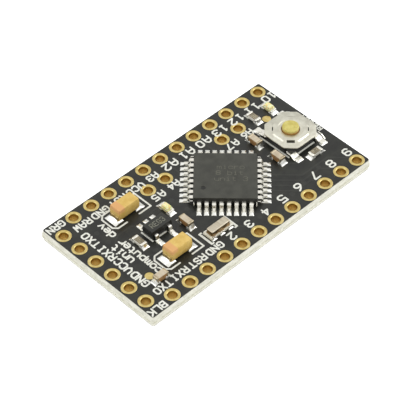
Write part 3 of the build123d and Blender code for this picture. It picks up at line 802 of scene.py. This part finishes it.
# each letter is one or more pen strokes on a grid four wide and six high
penStrokes = {
    "A": [[(0, 0), (0, 4.2), (1.2, 6), (2.8, 6), (4, 4.2), (4, 0)], [(0, 2.4), (4, 2.4)]],
    "B": [[(0, 0), (0, 6), (3, 6), (4, 5), (4, 4), (3, 3), (4, 2), (4, 1), (3, 0), (0, 0)], [(0, 3), (3, 3)]],
    "C": [[(4, 5), (3, 6), (1, 6), (0, 5), (0, 1), (1, 0), (3, 0), (4, 1)]],
    "D": [[(0, 0), (0, 6), (2.6, 6), (4, 4.6), (4, 1.4), (2.6, 0), (0, 0)]],
    "E": [[(4, 6), (0, 6), (0, 0), (4, 0)], [(0, 3), (3, 3)]],
    "G": [[(4, 5), (3, 6), (1, 6), (0, 5), (0, 1), (1, 0), (3, 0), (4, 1), (4, 2.8), (2.4, 2.8)]],
    "I": [[(1, 6), (3, 6)], [(2, 6), (2, 0)], [(1, 0), (3, 0)]],
    "K": [[(0, 0), (0, 6)], [(4, 6), (0, 2.4)], [(1.5, 3.7), (4, 0)]],
    "L": [[(0, 6), (0, 0), (4, 0)]],
    "N": [[(0, 0), (0, 6), (4, 0), (4, 6)]],
    "O": [[(1, 0), (0, 1), (0, 5), (1, 6), (3, 6), (4, 5), (4, 1), (3, 0), (1, 0)]],
    "R": [[(0, 0), (0, 6), (3, 6), (4, 5), (4, 3.8), (3, 2.8), (0, 2.8)], [(2, 2.8), (4, 0)]],
    "S": [[(4, 5), (3, 6), (1, 6), (0, 5), (0, 4), (1, 3), (3, 3), (4, 2), (4, 1), (3, 0), (1, 0), (0, 1)]],
    "T": [[(0, 6), (4, 6)], [(2, 6), (2, 0)]],
    "V": [[(0, 6), (0, 2.2), (2, 0), (4, 2.2), (4, 6)]],
    "W": [[(0, 6), (0.6, 0), (2, 3.4), (3.4, 0), (4, 6)]],
    "X": [[(0, 0), (4, 6)], [(0, 6), (4, 0)]],
    "1": [[(1, 5), (2, 6), (2, 0)], [(1, 0), (3, 0)]],
    "2": [[(0, 5), (1, 6), (3, 6), (4, 5), (4, 4), (0, 0), (4, 0)]],
    "3": [[(0, 5), (1, 6), (3, 6), (4, 5), (4, 4), (3, 3), (4, 2), (4, 1), (3, 0), (1, 0), (0, 1)],
          [(1.6, 3), (3, 3)]],
    "4": [[(3, 0), (3, 6), (0, 2), (4, 2)]],
    "5": [[(4, 6), (0, 6), (0, 3.4), (3, 3.4), (4, 2.4), (4, 1), (3, 0), (1, 0), (0, 0.8)]],
    "6": [[(3.6, 6), (1.6, 4.6), (0, 2.4), (0, 1), (1, 0), (3, 0), (4, 1), (4, 2.2), (3, 3.2), (0.6, 3.2)]],
    "7": [[(0, 6), (4, 6), (4, 5.2), (1, 0)]],
    "8": [[(1, 3), (0, 4), (0, 5), (1, 6), (3, 6), (4, 5), (4, 4), (3, 3), (1, 3), (0, 2), (0, 1), (1, 0),
           (3, 0), (4, 1), (4, 2), (3, 3)]],
    "9": [[(0, 1), (1, 0), (2.8, 0), (4, 1.2), (4, 5), (3, 6), (1, 6), (0, 5), (0, 3.8), (1, 2.8), (4, 2.8)]],
    "b": [[(0, 6), (0, 0), (3, 0), (4, 1), (4, 3), (3, 4), (0, 4)]],
    "c": [[(4, 3.2), (3, 4), (1, 4), (0, 3), (0, 1), (1, 0), (3, 0), (4, 0.8)]],
    "d": [[(4, 6), (4, 0), (1, 0), (0, 1), (0, 3), (1, 4), (4, 4)]],
    "e": [[(0, 2), (4, 2), (4, 3), (3, 4), (1, 4), (0, 3), (0, 1), (1, 0), (3.4, 0)]],
    "i": [[(1, 4), (2, 4), (2, 0)], [(1, 0), (3, 0)], [(2, 5.5), (2, 5.7)]],
    "m": [[(0, 0), (0, 4)], [(0, 3), (1, 4), (2, 3), (2, 0)], [(2, 3), (3, 4), (4, 3), (4, 0)]],
    "n": [[(0, 0), (0, 4)], [(0, 2.6), (1.4, 4), (3, 4), (4, 3), (4, 0)]],
    "o": [[(1, 0), (0, 1), (0, 3), (1, 4), (3, 4), (4, 3), (4, 1), (3, 0), (1, 0)]],
    "p": [[(0, -1.6), (0, 4), (3, 4), (4, 3), (4, 1), (3, 0), (0, 0)]],
    "r": [[(0, 0), (0, 4)], [(0, 2.4), (1.6, 4), (3.4, 4)]],
    "t": [[(1.4, 5.4), (1.4, 1), (2.4, 0), (3.4, 0)], [(0, 4), (3.2, 4)]],
    "u": [[(0, 4), (0, 1), (1, 0), (4, 0)], [(4, 4), (4, 0)]],
    "v": [[(0, 4), (2, 0), (4, 4)]],
}
penStrokes["0"] = penStrokes["O"]
penStrokes[" "] = []
hand = {
    "small": {"width": 0.54, "height": 0.8, "pitch": 0.79, "pen": 0.19},
    "wide": {"width": 0.58, "height": 0.82, "pitch": 0.82, "pen": 0.2},
    "large": {"width": 0.68, "height": 0.92, "pitch": 0.98, "pen": 0.2},
    "digit": {"width": 0.73, "height": 1.0, "pitch": 1.0, "pen": 0.2},
    "pair": {"width": 0.68, "height": 0.92, "pitch": 1.1, "pen": 0.2},
    "smallPair": {"width": 0.56, "height": 0.82, "pitch": 0.98, "pen": 0.19},
    "title": {"width": 0.58, "height": 0.86, "pitch": 0.8, "pen": 0.19},
    "fine": {"width": 0.42, "height": 0.5, "pitch": 0.68, "pen": 0.14},
}


def lettering(text, x, y, turn, form):
    # one label, centred on x and y, as pen strokes in the board's frame
    start = -((len(text) - 1) * form["pitch"] + form["width"]) / 2
    cos, sin = math.cos(math.radians(turn)), math.sin(math.radians(turn))
    strokes = []
    for i, letter in enumerate(text):
        for stroke in penStrokes[letter]:
            made = []
            for column, row in stroke:
                u = start + i * form["pitch"] + column / 4 * form["width"]
                v = (row / 6 - 0.5) * form["height"]
                made.append((x + u * cos - v * sin, y + u * sin + v * cos))
            strokes.append(made)
    return strokes


def legend():
    layout = {"pitch": 2.54, "nearRow": -6.12, "endRow": -6.22, "digitRow": -6.03, "digitShift": 0.07,
              "farRow": 6.12, "pairShift": 0.14, "serialColumn": -13.62, "serialStart": -3.78,
              "serialPitch": 2.55, "tickPen": 0.2, "sink": 0.002, "rise": 0.014}
    nearRow = ["TXO", "RXI", "RST", "GND", "2", "3", "4", "5", "6", "7", "8", "9"]
    farRow = ["RAW", "GND", "RST", "VCC", "A3", "A2", "A1", "A0", "13", "12", "11"]
    labels = []
    for i, text in enumerate(nearRow):
        x = layout["pitch"] * (i - 5)
        if len(text) == 3:
            labels.append((text, x, layout["nearRow" if i else "endRow"], 180, "small"))
        elif i < 7:
            labels.append((text, x, layout["nearRow"], 180, "large"))
        else:
            labels.append((text, x + layout["digitShift"], layout["digitRow"], 180, "digit"))
    for i, text in enumerate(farRow):
        size = "small" if len(text) == 3 or text == "A3" else "pair"
        shift = layout["pairShift"] if size == "pair" else 0
        labels.append((text, layout["pitch"] * (i - 5) + shift, layout["farRow"], 180, size))
    # the labels that stand by themselves: text, x, y, turn and size
    labels += [("10", 15.5, 6.14, 180, "large"),
               ("A5", -4.0, 3.6, 180, "smallPair"), ("A4", -1.7, 3.66, 180, "small"),
               ("A7", 7.2, 3.6, 180, "smallPair"), ("A6", 9.6, 3.66, 180, "small"),
               ("GRN", -15.0, 7.85, 180, "small"), ("BLK", -15.1, -7.95, 180, "small")]
    for i, text in enumerate(["GND", "VCC", "RXI", "TXO"]):
        y = layout["serialStart"] + layout["serialPitch"] * i
        labels.append((text, layout["serialColumn"], y, 90, "wide"))
    labels += [("computer", -11.53, -1.38, 90, "title"), ("dev", -11.53, 3.72, 90, "wide"),
               ("unit", -12.58, 0.12, 90, "title"), ("RESET", 15.95, 0.0, 90, "fine")]
    low, high = maskTop - layout["sink"], maskTop + layout["rise"]
    work = Stock()
    for text, x, y, turn, size in labels:
        work.add(inkShape(lettering(text, x, y, turn, hand[size]), hand[size]["pen"], low, high))
    for x in (-4.8, -1.18):  # ticks at the resonator's ends
        work.add(inkShape([[(x, -3.8), (x, -5.22)]], layout["tickPen"], low, high))
    work.piece("pinLabels", ink, slot="legend_ink", angle=30)


mcuPlace = at(*boxMiddle("mcu_body"), 0, 45)


def mcuLeadPlaces():
    for side in range(4):
        for i in range(8):
            yield mcuPlace @ at(0, 0, 0, 90 * side) @ at(0, (i - 3.5) * 0.8)


def gullWing(lead, middle, edge=0.02, widths=(1, 1), steps=4):
    # a lead that leaves the case half-way up and bends down to a flat foot
    foot = seat + lead["thickness"] / 2
    path = filletPath([(lead["inner"], middle), (lead["shoulder"], middle), (lead["knee"], foot),
                       (lead["toe"], foot)], lead["bend"], steps)
    return bentStrip(path, lead["width"], lead["thickness"], edge, widths)


def microcontroller():
    chip = {"side": 7.0, "corner": 0.12, "edge": 0.035, "lean": 0.1, "dimple": (-1.9, 2.4, 0.3)}
    low, high = heights("mcu_body")
    body = easedBlock(chip["side"], chip["side"], low, high, chip["corner"], chip["edge"], chip["lean"])
    made = Stock().add(body, mcuPlace).piece("mcuCase", mcuMould, "mcu_body", slot="mould_compound")
    x, y, radius = chip["dimple"]
    dish = lathe([(nearAxis, high - 0.1), (radius * 0.7, high - 0.09), (radius * 0.95, high - 0.05),
                  (radius, high + 0.1), (nearAxis, high + 0.1)], 36, ring=False)
    cutAway(made, Stock().add(dish, mcuPlace @ at(x, y)).piece("dimpleTool", mcuMould))

    # faint printing on the case
    marking = {"width": 0.46, "height": 0.6, "pitch": 0.62, "pen": 0.07, "sink": 0.002, "rise": 0.003,
               "lines": [("micro", 1.3, 0.55), ("8 bit", 0.4, 0.45), ("unit 3", -0.5, 0.6)]}
    printing = Stock()
    for text, up, right in marking["lines"]:
        spot = mcuPlace @ Vector((up, -right, 0))
        strokes = lettering(text, spot.x, spot.y, -45, marking)
        printing.add(inkShape(strokes, marking["pen"], high - marking["sink"], high + marking["rise"]))
    printing.piece("mcuMarking", etchedMark, slot="mould_compound", angle=30)

    lead = {"width": 0.4, "thickness": 0.14, "inner": 3.35, "shoulder": 3.9, "knee": 4.08, "toe": 4.52,
            "bend": 0.17, "edge": 0.035, "widths": (1.15, 1.15, 1.1, 0.95, 0.9, 0.9)}
    land = {"inner": 3.85, "outer": 4.97, "width": 0.52, "climb": 0.15, "bed": 0.06,
            "widths": (0.8, 1, 0.68, 0.66, 0.85, 1, 1)}
    middle = (low + high) / 2
    strip = gullWing(lead, middle, lead["edge"], lead["widths"], 5)
    length, centre = land["outer"] - land["inner"], (land["outer"] + land["inner"]) / 2
    pad = solderJoint(length, land["width"], lead["toe"] - centre, land["climb"], land["bed"], land["widths"])
    leads, joints = Stock(), Stock()
    for place in mcuLeadPlaces():
        leads.add(strip, place)
        joints.add(pad, place @ at(centre, 0))
    # the frame's tie bars end as small hooks at the corners
    tie = {"width": 0.1, "thickness": 0.1, "inner": 3.3, "reach": 3.78, "tipReach": 3.84, "tipHeight": 1.72,
           "drop": 0.05, "bend": 0.12, "across": 3.36}
    level = middle - tie["drop"]
    hook = filletPath([(tie["inner"], level), (tie["reach"], level), (tie["tipReach"], tie["tipHeight"])],
                      tie["bend"], 4)
    hook = bentStrip(hook, tie["width"], tie["thickness"])
    for side in range(4):
        for sign in (-1, 1):
            leads.add(hook, mcuPlace @ at(0, 0, 0, 90 * side) @ at(0, sign * tie["across"]))
    leads.piece("mcuLeads", tin, "mcu_leads", slot="tin")
    joints.piece("mcuSolder", solder, "mcu_solder_joints", slot="solder", angle=60)
    finishNodes(copper, "mcu_die_paddle")
    finishNodes(silicon, "mcu_die", "regulator_die", "led_dies")
    finishNodes(gold, "mcu_bond_wires")


def regulator():
    part = {"length": 2.9, "width": 1.6, "corner": 0.06, "edge": 0.05, "lean": 0.07,
            "leadPlaces": ((-0.95, 1), (0, 1), (0.95, 1), (-0.95, -1), (0.95, -1))}
    x, y = boxMiddle("regulator_body")
    low, high = heights("regulator_body")
    body = easedBlock(part["length"], part["width"], low, high, part["corner"], part["edge"], part["lean"])
    Stock().add(body, at(x, y)).piece("regulatorCase", regulatorMould, "regulator_body", slot="mould_compound")
    marking = {"width": 0.34, "height": 0.62, "pitch": 0.5, "pen": 0.09, "drop": 0.02, "sink": 0.002,
               "rise": 0.004}
    letters = lettering("REG3", x, y - marking["drop"], 0, marking)
    printing = inkShape(letters, marking["pen"], high - marking["sink"], high + marking["rise"])
    Stock().add(printing).piece("regulatorMarking", markInk, slot="mould_compound", angle=30)

    lead = {"width": 0.42, "thickness": 0.12, "inner": 0.7, "shoulder": 1.0, "knee": 1.14, "toe": 1.45,
            "bend": 0.12}
    land = {"length": 1.1, "width": 0.6, "offset": 1.45, "climb": 0.16, "bed": 0.05,
            "widths": (0.8, 0.9, 0.7, 0.9, 1)}
    strip = gullWing(lead, (low + high) / 2)
    joint = solderJoint(land["length"], land["width"], lead["toe"] - land["offset"], land["climb"],
                        land["bed"], land["widths"])
    leads = Stock()
    pads = []
    for offset, side in part["leadPlaces"]:
        leads.add(strip, at(x + offset, y, 0, 90 * side))
        pads.append((joint, at(x + offset, y + side * land["offset"], 0, 90 * side)))
    leads.piece("regulatorLeads", tin, "regulator_leads", slot="tin")
    return pads


def resonator():
    part = {"base": (3.2, 1.3), "can": (2.75, 1.02), "canCorner": 0.2, "canEdge": 0.08, "flange": 0.05,
            "pitch": 1.2, "terminal": 0.62, "tooth": 0.36, "toothOffset": 0.31, "landOffset": 0.56}
    x, y = boxMiddle("resonator_base")
    low, high = heights("resonator_base")
    length, width = part["base"]
    Stock().add(easedBlock(length, width, low, high), at(x, y)).piece(
        "resonatorSubstrate", resonatorCeramic, "resonator_base", slot="alumina")
    # the can: a flange that turns in to its wall, then a rounded top
    canLow, canHigh = heights("resonator_can")
    flange = part["flange"]
    sides = [(canLow, 0.0), (canLow + 0.05, 0.0), (canLow + 0.07, flange * 0.7)]
    sides += [(canHigh - part["canEdge"] * drop, part["canEdge"] * inset + flange)
              for drop, inset in quarterArc(5)]
    loops = [roundRect(part["can"][0] - 2 * inset, part["can"][1] - 2 * inset,
                       max(part["canCorner"] - inset, 0.05), z, 6) for z, inset in sides]
    Stock().add(stack(loops), at(x, y)).piece("resonatorCan", canSteel, "resonator_can", slot="can_steel",
                                              angle=40)
    tooth = easedBlock(part["terminal"] * part["tooth"], 0.06, seat, high - 0.01, 0.02, 0.015)
    cap = easedBlock(part["terminal"], 0.16, high - 0.02, high + 0.02, 0.02, 0.012)
    joint = solderJoint(0.5, 0.7, 0.04, 0.16)
    plates = Stock()
    pads = []
    for i in (-1, 0, 1):
        for side in (-1, 1):
            spot = at(x + i * part["pitch"], y + side * width / 2)
            # each terminal is a plated slot in the substrate's edge, so it shows as two teeth
            for half in (-1, 1):
                plates.add(tooth, spot @ at(half * part["terminal"] * part["toothOffset"], side * 0.012))
            plates.add(cap, spot @ at(0, side * -0.05))
            pads.append((joint, at(x + i * part["pitch"], y + side * part["landOffset"], 0, 90 * side)))
    plates.piece("resonatorTerminals", tin, "resonator_terminals", slot="tin")
    finishNodes(resonatorCeramic, "resonator_element")
    return pads


def octagonCorners(across, corner):
    half, near = across / 2, across / 2 - corner
    return [(half, -near), (half, near), (near, half), (-near, half),
            (-half, near), (-half, -near), (-near, -half), (near, -half)]


def octagonLoop(across, corner, z, count=96, sharpness=70):
    # an octagon with slightly rounded corners, sampled at even angles
    loop = []
    for i in range(count):
        angle = 2 * math.pi * i / count
        total = 0.0
        for side in range(8):
            distance = across / 2 if side % 2 == 0 else (across - corner) / math.sqrt(2)
            total += max(0.0, math.cos(angle - math.pi / 4 * side) / distance) ** sharpness
        radius = total ** (-1 / sharpness)
        loop.append((radius * math.cos(angle), radius * math.sin(angle), z))
    return loop


def contactDome(x, y):
    # the snap dome under the plunger, as one arched shell; in the real switch its rim stays put and its crown
    # goes down with the plunger
    dome = {"radius": 1.7, "thickness": 0.06, "steps": 10, "rimHeight": 0.04}
    low, high = heights("switch_contact_dome")
    rise = high - low - dome["thickness"]
    bend = (dome["radius"] ** 2 + rise ** 2) / (2 * rise)
    arch = []
    for i in range(dome["steps"] + 1):
        r = max(nearAxis, dome["radius"] * i / dome["steps"])
        arch.append((r, high - bend + math.sqrt(bend ** 2 - r ** 2)))
    profile = arch + [(r, z - dome["thickness"]) for r, z in arch[::-1]]
    made = Stock().add(lathe(profile, 48, ring=False), at(x, y)).piece(
        "contactDome", coverSteel, "switch_contact_dome", body=None, slot="can_steel")
    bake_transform(made)


def switchCover(part, place):
    # a pressed plate with a raised platform, a sunk ring round the plunger and slots in its bevels
    low, high = heights("switch_cover")
    plateTop = high - part["step"]
    loops = []
    for inset, z in ((0.05, low), (0.0, low + 0.05), (0.0, plateTop - 0.06), (0.02, plateTop - 0.02),
                     (0.06, plateTop)):
        loops.append(octagonLoop(part["side"] - 2 * inset, part["corner"], z))
    for inset, z in ((0.0, plateTop), (0.03, plateTop + 0.01), (part["bevel"] - 0.03, high - 0.01),
                     (part["bevel"], high)):
        loops.append(octagonLoop(part["platform"] - 2 * inset, part["platformCorner"], z))
    hole, ring = part["hole"], part["ring"]
    for radius, z in ((ring, high), (ring - 0.03, high - 0.018), (hole + 0.12, high - 0.02),
                      (hole + 0.03, high - 0.03), (hole, high - 0.06), (hole, low)):
        loops.append(circleLoop(radius, z))
    made = Stock().add(stack(loops, closed=True), place).piece(
        "switchCover", coverSteel, "switch_cover", slot="cover_steel", angle=28)
    for turn, (deep, wide) in part["slots"].items():
        slot = easedBlock(deep, wide, low - 0.1, high + 0.2, 0.04, 0.01)
        tool = Stock().add(slot, place @ at(0, 0, 0, turn) @ at(part["slotReach"], 0))
        cutAway(made, tool.piece("slotTool", coverSteel), 28)


def switchHousing(part, place):
    # its studs come up through the cover's slots, and the dome and plunger stand in its well
    housing = {"side": 4.7, "corner": 0.95, "edge": 0.03, "gap": 0.04, "well": 1.78}
    low, high = heights("switch_base")[0], heights("switch_cover")[0]
    studTop = heights("switch_cover")[1] - part["step"] - 0.05
    block = polygonBlock(octagonCorners(housing["side"], housing["corner"]), low, high, housing["edge"])
    base = Stock().add(block, place)
    for turn, (deep, wide) in part["slots"].items():
        stud = easedBlock(deep - housing["gap"], wide - housing["gap"], high - 0.1, studTop, 0.03, 0.02)
        base.add(stud, place @ at(0, 0, 0, turn) @ at(part["slotReach"], 0))
    made = base.piece("switchHousing", switchPlastic, "switch_base", slot="switch_plastic")
    floor = heights("switch_contact_dome")[0]
    well = stack([circleLoop(housing["well"], floor), circleLoop(housing["well"], high + 0.01)])
    cutAway(made, Stock().add(well, place).piece("wellTool", switchPlastic))


def switchPlunger(place):
    # a dished face, a straight stem, a flange kept in by the cover, and a boss that meets the dome
    stem = {"radius": 0.955, "flange": 1.4, "flangeRise": 0.11, "boss": 0.5, "bossHeight": 0.05}
    bottom, top = heights("switch_plunger")
    flangeTop, flangeLow = heights("switch_cover")[0] + stem["flangeRise"], bottom + stem["bossHeight"]
    profile = [(nearAxis, top - 0.012), (0.6, top - 0.008), (0.82, top), (0.9, top - 0.015),
               (0.935, top - 0.05), (0.95, top - 0.1), (stem["radius"], flangeTop),
               (stem["flange"], flangeTop), (stem["flange"], flangeLow), (stem["boss"], flangeLow),
               (stem["boss"], bottom), (nearAxis, bottom)]
    Stock().add(lathe(profile, 64, ring=False), place).piece(
        "resetPlunger", plungerPlastic, "switch_plunger", "reset_plunger", "plunger_plastic", 40)


def resetSwitch():
    part = {"side": 5.2, "corner": 1.15, "platform": 4.1, "platformCorner": 1.12, "bevel": 0.17,
            "hole": 1.03, "ring": 1.42, "step": 0.13, "slotReach": 1.98,
            "slots": {225: (0.3, 0.9), 45: (0.12, 0.5), 135: (0.12, 0.6), 315: (0.12, 0.6)}}
    x, y = boxMiddle("switch_cover")
    place = at(x, y)
    switchCover(part, place)
    switchHousing(part, place)
    switchPlunger(place)
    contactDome(x, y)

    lead = {"width": 0.78, "thickness": 0.15, "edge": 0.03, "offset": 1.9, "inner": 1.6, "shoulder": 2.3,
            "knee": 2.85, "reach": 3.35, "rise": 0.2, "bend": 0.2}
    land = {"length": 1.1, "width": 0.9, "offset": 3.02, "climb": 0.12, "bed": 0.05}
    # beside each terminal a narrow leg of the cover is folded down
    leg = {"width": 0.14, "thickness": 0.08, "bend": 0.2, "side": 0.52,
           "path": [(1.9, 1.86), (2.45, 1.84), (3.0, 1.5)]}
    foot = seat + lead["thickness"] / 2
    path = [(lead["inner"], foot + lead["rise"]), (lead["shoulder"], foot + lead["rise"]),
            (lead["knee"], foot), (lead["reach"], foot)]
    strip = bentStrip(filletPath(path, lead["bend"], 5), lead["width"], lead["thickness"], lead["edge"])
    fold = bentStrip(filletPath(leg["path"], leg["bend"], 4), leg["width"], leg["thickness"])
    joint = solderJoint(land["length"], land["width"], lead["reach"] - land["offset"], land["climb"],
                        land["bed"])
    tabs, pads = Stock(), Stock()
    for sideX in (-1, 1):
        for sideY in (-1, 1):
            spot = place @ at(sideX * lead["offset"], 0, 0, 90 * sideY)
            tabs.add(strip, spot)
            tabs.add(fold, spot @ at(0, -leg["side"] * sideX * sideY))
            pads.add(joint, spot @ at(land["offset"], 0))
    tabs.piece("switchTabs", tin, "switch_terminals", slot="tin")
    pads.piece("switchSolder", solder, "switch_solder_joints", slot="solder", angle=60)


def tantalumCapacitors():
    part = {"length": 3.0, "width": 1.6, "corner": 0.12, "edge": 0.07, "lean": 0.08}
    tab = {"width": 1.2, "thickness": 0.1, "drop": 0.28, "inside": 0.4, "foot": 0.8, "bend": 0.1}
    land = {"length": 1.25, "width": 1.75, "offset": 1.53, "climb": 0.3}
    pads = []
    half = part["length"] / 2 + tab["thickness"] / 2
    foot = seat + tab["thickness"] / 2
    joint = solderJoint(land["length"], land["width"], part["length"] / 2 + 0.1 - land["offset"],
                        land["climb"])
    for name in ("input_tantalum", "output_tantalum"):
        place = at(*boxMiddle(name + "_body"))
        low, high = heights(name + "_body")
        body = easedBlock(part["length"], part["width"], low, high, part["corner"], part["edge"],
                          part["lean"])
        Stock().add(body, place).piece(name + "Case", tantalumCase, name + "_body", slot="tantalum_case")
        shelf = (low + high) / 2 - tab["drop"]
        path = [(half - tab["inside"], shelf), (half, shelf), (half, foot), (half - tab["foot"], foot)]
        strip = bentStrip(filletPath(path, tab["bend"], 4), tab["width"], tab["thickness"])
        tabs = Stock()
        for turn in (0, 180):
            tabs.add(strip, place @ at(0, 0, 0, turn))
            pads.append((joint, place @ at(0, 0, 0, turn) @ at(land["offset"], 0)))
        tabs.piece(name + "Tabs", shadedTabMetal, name + "_terminals", slot="tin")
        finishNodes(powder, name + "_anode")
    return pads


chip = {"length": 1.6, "width": 0.8, "end": 0.32, "capacitorEnd": 0.26, "landOffset": 0.76,
        "land": (0.8, 0.92)}


def chipSpot(node):
    # where a chip's node stands, turned to its long side, and the heights of its bottom and top
    low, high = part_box(node)
    alongY = high.y - low.y > high.x - low.x
    return at(*boxMiddle(node), 0, 90 if alongY else 0), *heights(node)


def chipPads(place, climb):
    joint = solderJoint(*chip["land"], chip["length"] / 2 - chip["landOffset"], climb)
    return [(joint, place @ at(0, 0, 0, turn) @ at(chip["landOffset"], 0)) for turn in (0, 180)]


def chipEnds(name, place, low, high, metal, end):
    # plated ends wrapped over a chip
    work = Stock()
    cap = easedBlock(end, chip["width"], low, high, 0.07, 0.07)
    for side in (-1, 1):
        work.add(cap, place @ at(side * (chip["length"] - end) / 2, 0))
    work.piece(name + "Plating", metal, name + "_ends", slot="tin", angle=60)


def ceramicCapacitors():
    body = {"shorter": 0.1, "narrower": 0.05, "lower": 0.02, "corner": 0.06, "edge": 0.06, "climb": 0.55}
    pads = []
    for name in ("regulator_decoupler", "mcu_decoupler_near", "mcu_decoupler_far", "reset_coupler"):
        place, low, high = chipSpot(name + "_ends")
        block = easedBlock(chip["length"] - body["shorter"], chip["width"] - body["narrower"],
                           low + body["lower"], high - body["lower"], body["corner"], body["edge"])
        Stock().add(block, place).piece(name + "Body", capacitorCeramic, name + "_body",
                                        slot="capacitor_ceramic", angle=60)
        chipEnds(name, place, low, high, capMetal, chip["capacitorEnd"])
        pads += chipPads(place, body["climb"])
    return pads


def resistors():
    body = {"shorter": 0.08, "narrower": 0.04, "lower": 0.02, "corner": 0.03, "edge": 0.02, "climb": 0.4}
    code = {"text": "102", "width": 0.2, "height": 0.38, "pitch": 0.28, "pen": 0.05, "rise": 0.014}
    pads = []
    coats = Stock()
    for name in ("power_led_resistor", "reset_pullup", "status_led_resistor"):
        place, low, high = chipSpot(name + "_ends")
        block = easedBlock(chip["length"] - body["shorter"], chip["width"] - body["narrower"],
                           low + body["lower"], high - body["lower"], body["corner"], body["edge"])
        Stock().add(block, place).piece(name + "Body", alumina, name + "_body", slot="alumina")
        chipEnds(name, place, low, high, tin, chip["end"])
        # a brown border, the glass on it, then the code
        length = chip["length"] - 2 * chip["end"] + 0.04
        border = easedBlock(length, chip["width"] - 0.08, high - 0.04, high - 0.002, 0.04, 0.012)
        glass = easedBlock(length - 0.12, chip["width"] - 0.2, high - 0.03, high + 0.01, 0.05, 0.012)
        coats.add(border, place, slot=1).add(glass, place)
        turn = math.degrees(place.to_euler().z)
        strokes = lettering(code["text"], *place.translation.xy, turn, code)
        coats.add(inkShape(strokes, code["pen"], high, high + code["rise"]), slot=1)
        pads += chipPads(place, body["climb"])
    coats.piece("resistorCoats", [glassCoat, coatBorder], "resistor_overcoats", slot="resistor_glass")
    return pads


def indicatorLights():
    lamp = {"shorter": 0.06, "wrap": 0.03, "wrapOffset": 0.13, "lens": (1.1, 0.8), "lensCorner": 0.07,
            "climb": 0.3}
    pads = []
    for name in ("power_led", "status_led"):
        place, low, high = chipSpot(name + "_base")
        base = easedBlock(chip["length"] - lamp["shorter"], chip["width"], low, high, 0.02, 0.01)
        Stock().add(base, place).piece(name + "Carrier", lampCarrier, name + "_base", slot="alumina")
        wrap = easedBlock(chip["end"] - 0.06, chip["width"] + 0.01, low - lamp["wrap"], high + lamp["wrap"],
                          0.03, 0.02)
        ends = Stock()
        for side in (-1, 1):
            ends.add(wrap, place @ at(side * (chip["length"] / 2 - lamp["wrapOffset"]), 0))
        ends.piece(name + "Terminals", tin, name + "_terminals", slot="tin")
        # a flat-topped lens with sloping ends and a shallow step along each side
        bottom, top = heights(name + "_lens")
        length, width = lamp["lens"]
        levels = [(bottom, 0.0, 0.0), (bottom + 0.1, 0.0, 0.0), (bottom + 0.13, 0.05, 0.06),
                  (top - 0.07, 0.07, 0.07), (top - 0.02, 0.1, 0.09), (top, 0.15, 0.13)]
        loops = [roundRect(length - 2 * shortened, width - 2 * narrowed, lamp["lensCorner"], z)
                 for z, shortened, narrowed in levels]
        Stock().add(stack(loops), place).piece(name + "Lens", lensResin, name + "_lens", slot="lens_resin")
        pads += chipPads(place, lamp["climb"])
    return pads


def studio():
    floor = {"size": 1.6, "drop": 0.02, "colour": srgb(247, 247, 247), "glow": 0.5}
    bpy.ops.mesh.primitive_plane_add(size=floor["size"], location=(0, 0, -floor["drop"] * mm))
    ground = bpy.context.object
    ground.name = "studioFloor"
    paint = Paint("floorPaper", rough=0.9, specular=0.1)
    paint.set("base", floor["colour"])
    paint.shader.inputs["Emission Color"].default_value = (1, 1, 1, 1)
    paint.shader.inputs["Emission Strength"].default_value = floor["glow"]
    ground.data.materials.append(paint.material)

    # a white tent: bright overhead, dimmer towards the horizon
    tent = {"horizon": 0.52, "overhead": 0.97, "fullFrom": 0.7, "strength": 0.98}
    world = bpy.data.worlds.new("studioTent")
    bpy.context.scene.world = world
    world.use_nodes = True
    nodes, links = world.node_tree.nodes, world.node_tree.links
    place = nodes.new("ShaderNodeTexCoord")
    parts = nodes.new("ShaderNodeSeparateXYZ")
    rise = nodes.new("ShaderNodeMapRange")
    ranges = {"From Min": 0.0, "From Max": tent["fullFrom"], "To Min": tent["horizon"],
              "To Max": tent["overhead"]}
    for key, value in ranges.items():
        rise.inputs[key].default_value = value
    links.new(place.outputs["Generated"], parts.inputs[0])
    links.new(parts.outputs["Z"], rise.inputs["Value"])
    links.new(rise.outputs[0], nodes["Background"].inputs["Color"])
    nodes["Background"].inputs["Strength"].default_value = tent["strength"]

    # softboxes: where each stands, its width, its power in watts
    boxes = {"rightBox": ((0.25, -0.14, 0.24), 0.2, 0.4), "leftBox": ((-0.24, 0.2, 0.30), 0.22, 0.3)}
    for name, (spot, width, power) in boxes.items():
        lamp = bpy.data.lights.new(name, "AREA")
        lamp.shape = "RECTANGLE"
        lamp.size = lamp.size_y = width
        lamp.energy = power
        holder = bpy.data.objects.new(name, lamp)
        holder.location = spot
        holder.rotation_euler = (-Vector(spot)).to_track_quat("-Z", "Y").to_euler()
        bpy.context.scene.collection.objects.link(holder)


def camera():
    shot = {"azimuth": -44.38, "elevation": 46.38, "lens": 174.53, "sensor": 36,
            "position": (-0.1056, -0.1078, 0.1576)}
    lens = bpy.data.cameras.new("view")
    lens.lens = shot["lens"]
    lens.sensor_width = shot["sensor"]
    lens.clip_start, lens.clip_end = 0.01, 5
    holder = bpy.data.objects.new("view", lens)
    azimuth, elevation = math.radians(shot["azimuth"]), math.radians(shot["elevation"])
    back = Vector((math.sin(azimuth) * math.cos(elevation), -math.cos(azimuth) * math.cos(elevation),
                   math.sin(elevation)))
    holder.location = shot["position"]
    holder.rotation_euler = (-back).to_track_quat("-Z", "Y").to_euler()
    bpy.context.scene.collection.objects.link(holder)
    bpy.context.scene.camera = holder
    bpy.context.scene.view_settings.view_transform = "Standard"


bareBoard()
traceRidges()
pinHoles()
fiducials()
tentedVias()
print("board dressed")
legend()
print("legend printed")
microcontroller()
smallPads = regulator() + resonator() + tantalumCapacitors()
smallPads += ceramicCapacitors() + resistors() + indicatorLights()
soldered = Stock()
for joint, place in smallPads:
    soldered.add(joint, place)
soldered.piece("smallPartSolder", solder, "small_part_solder_joints", slot="solder", angle=60)
resetSwitch()
print("parts fitted")
studio()
camera()
print("studio ready")
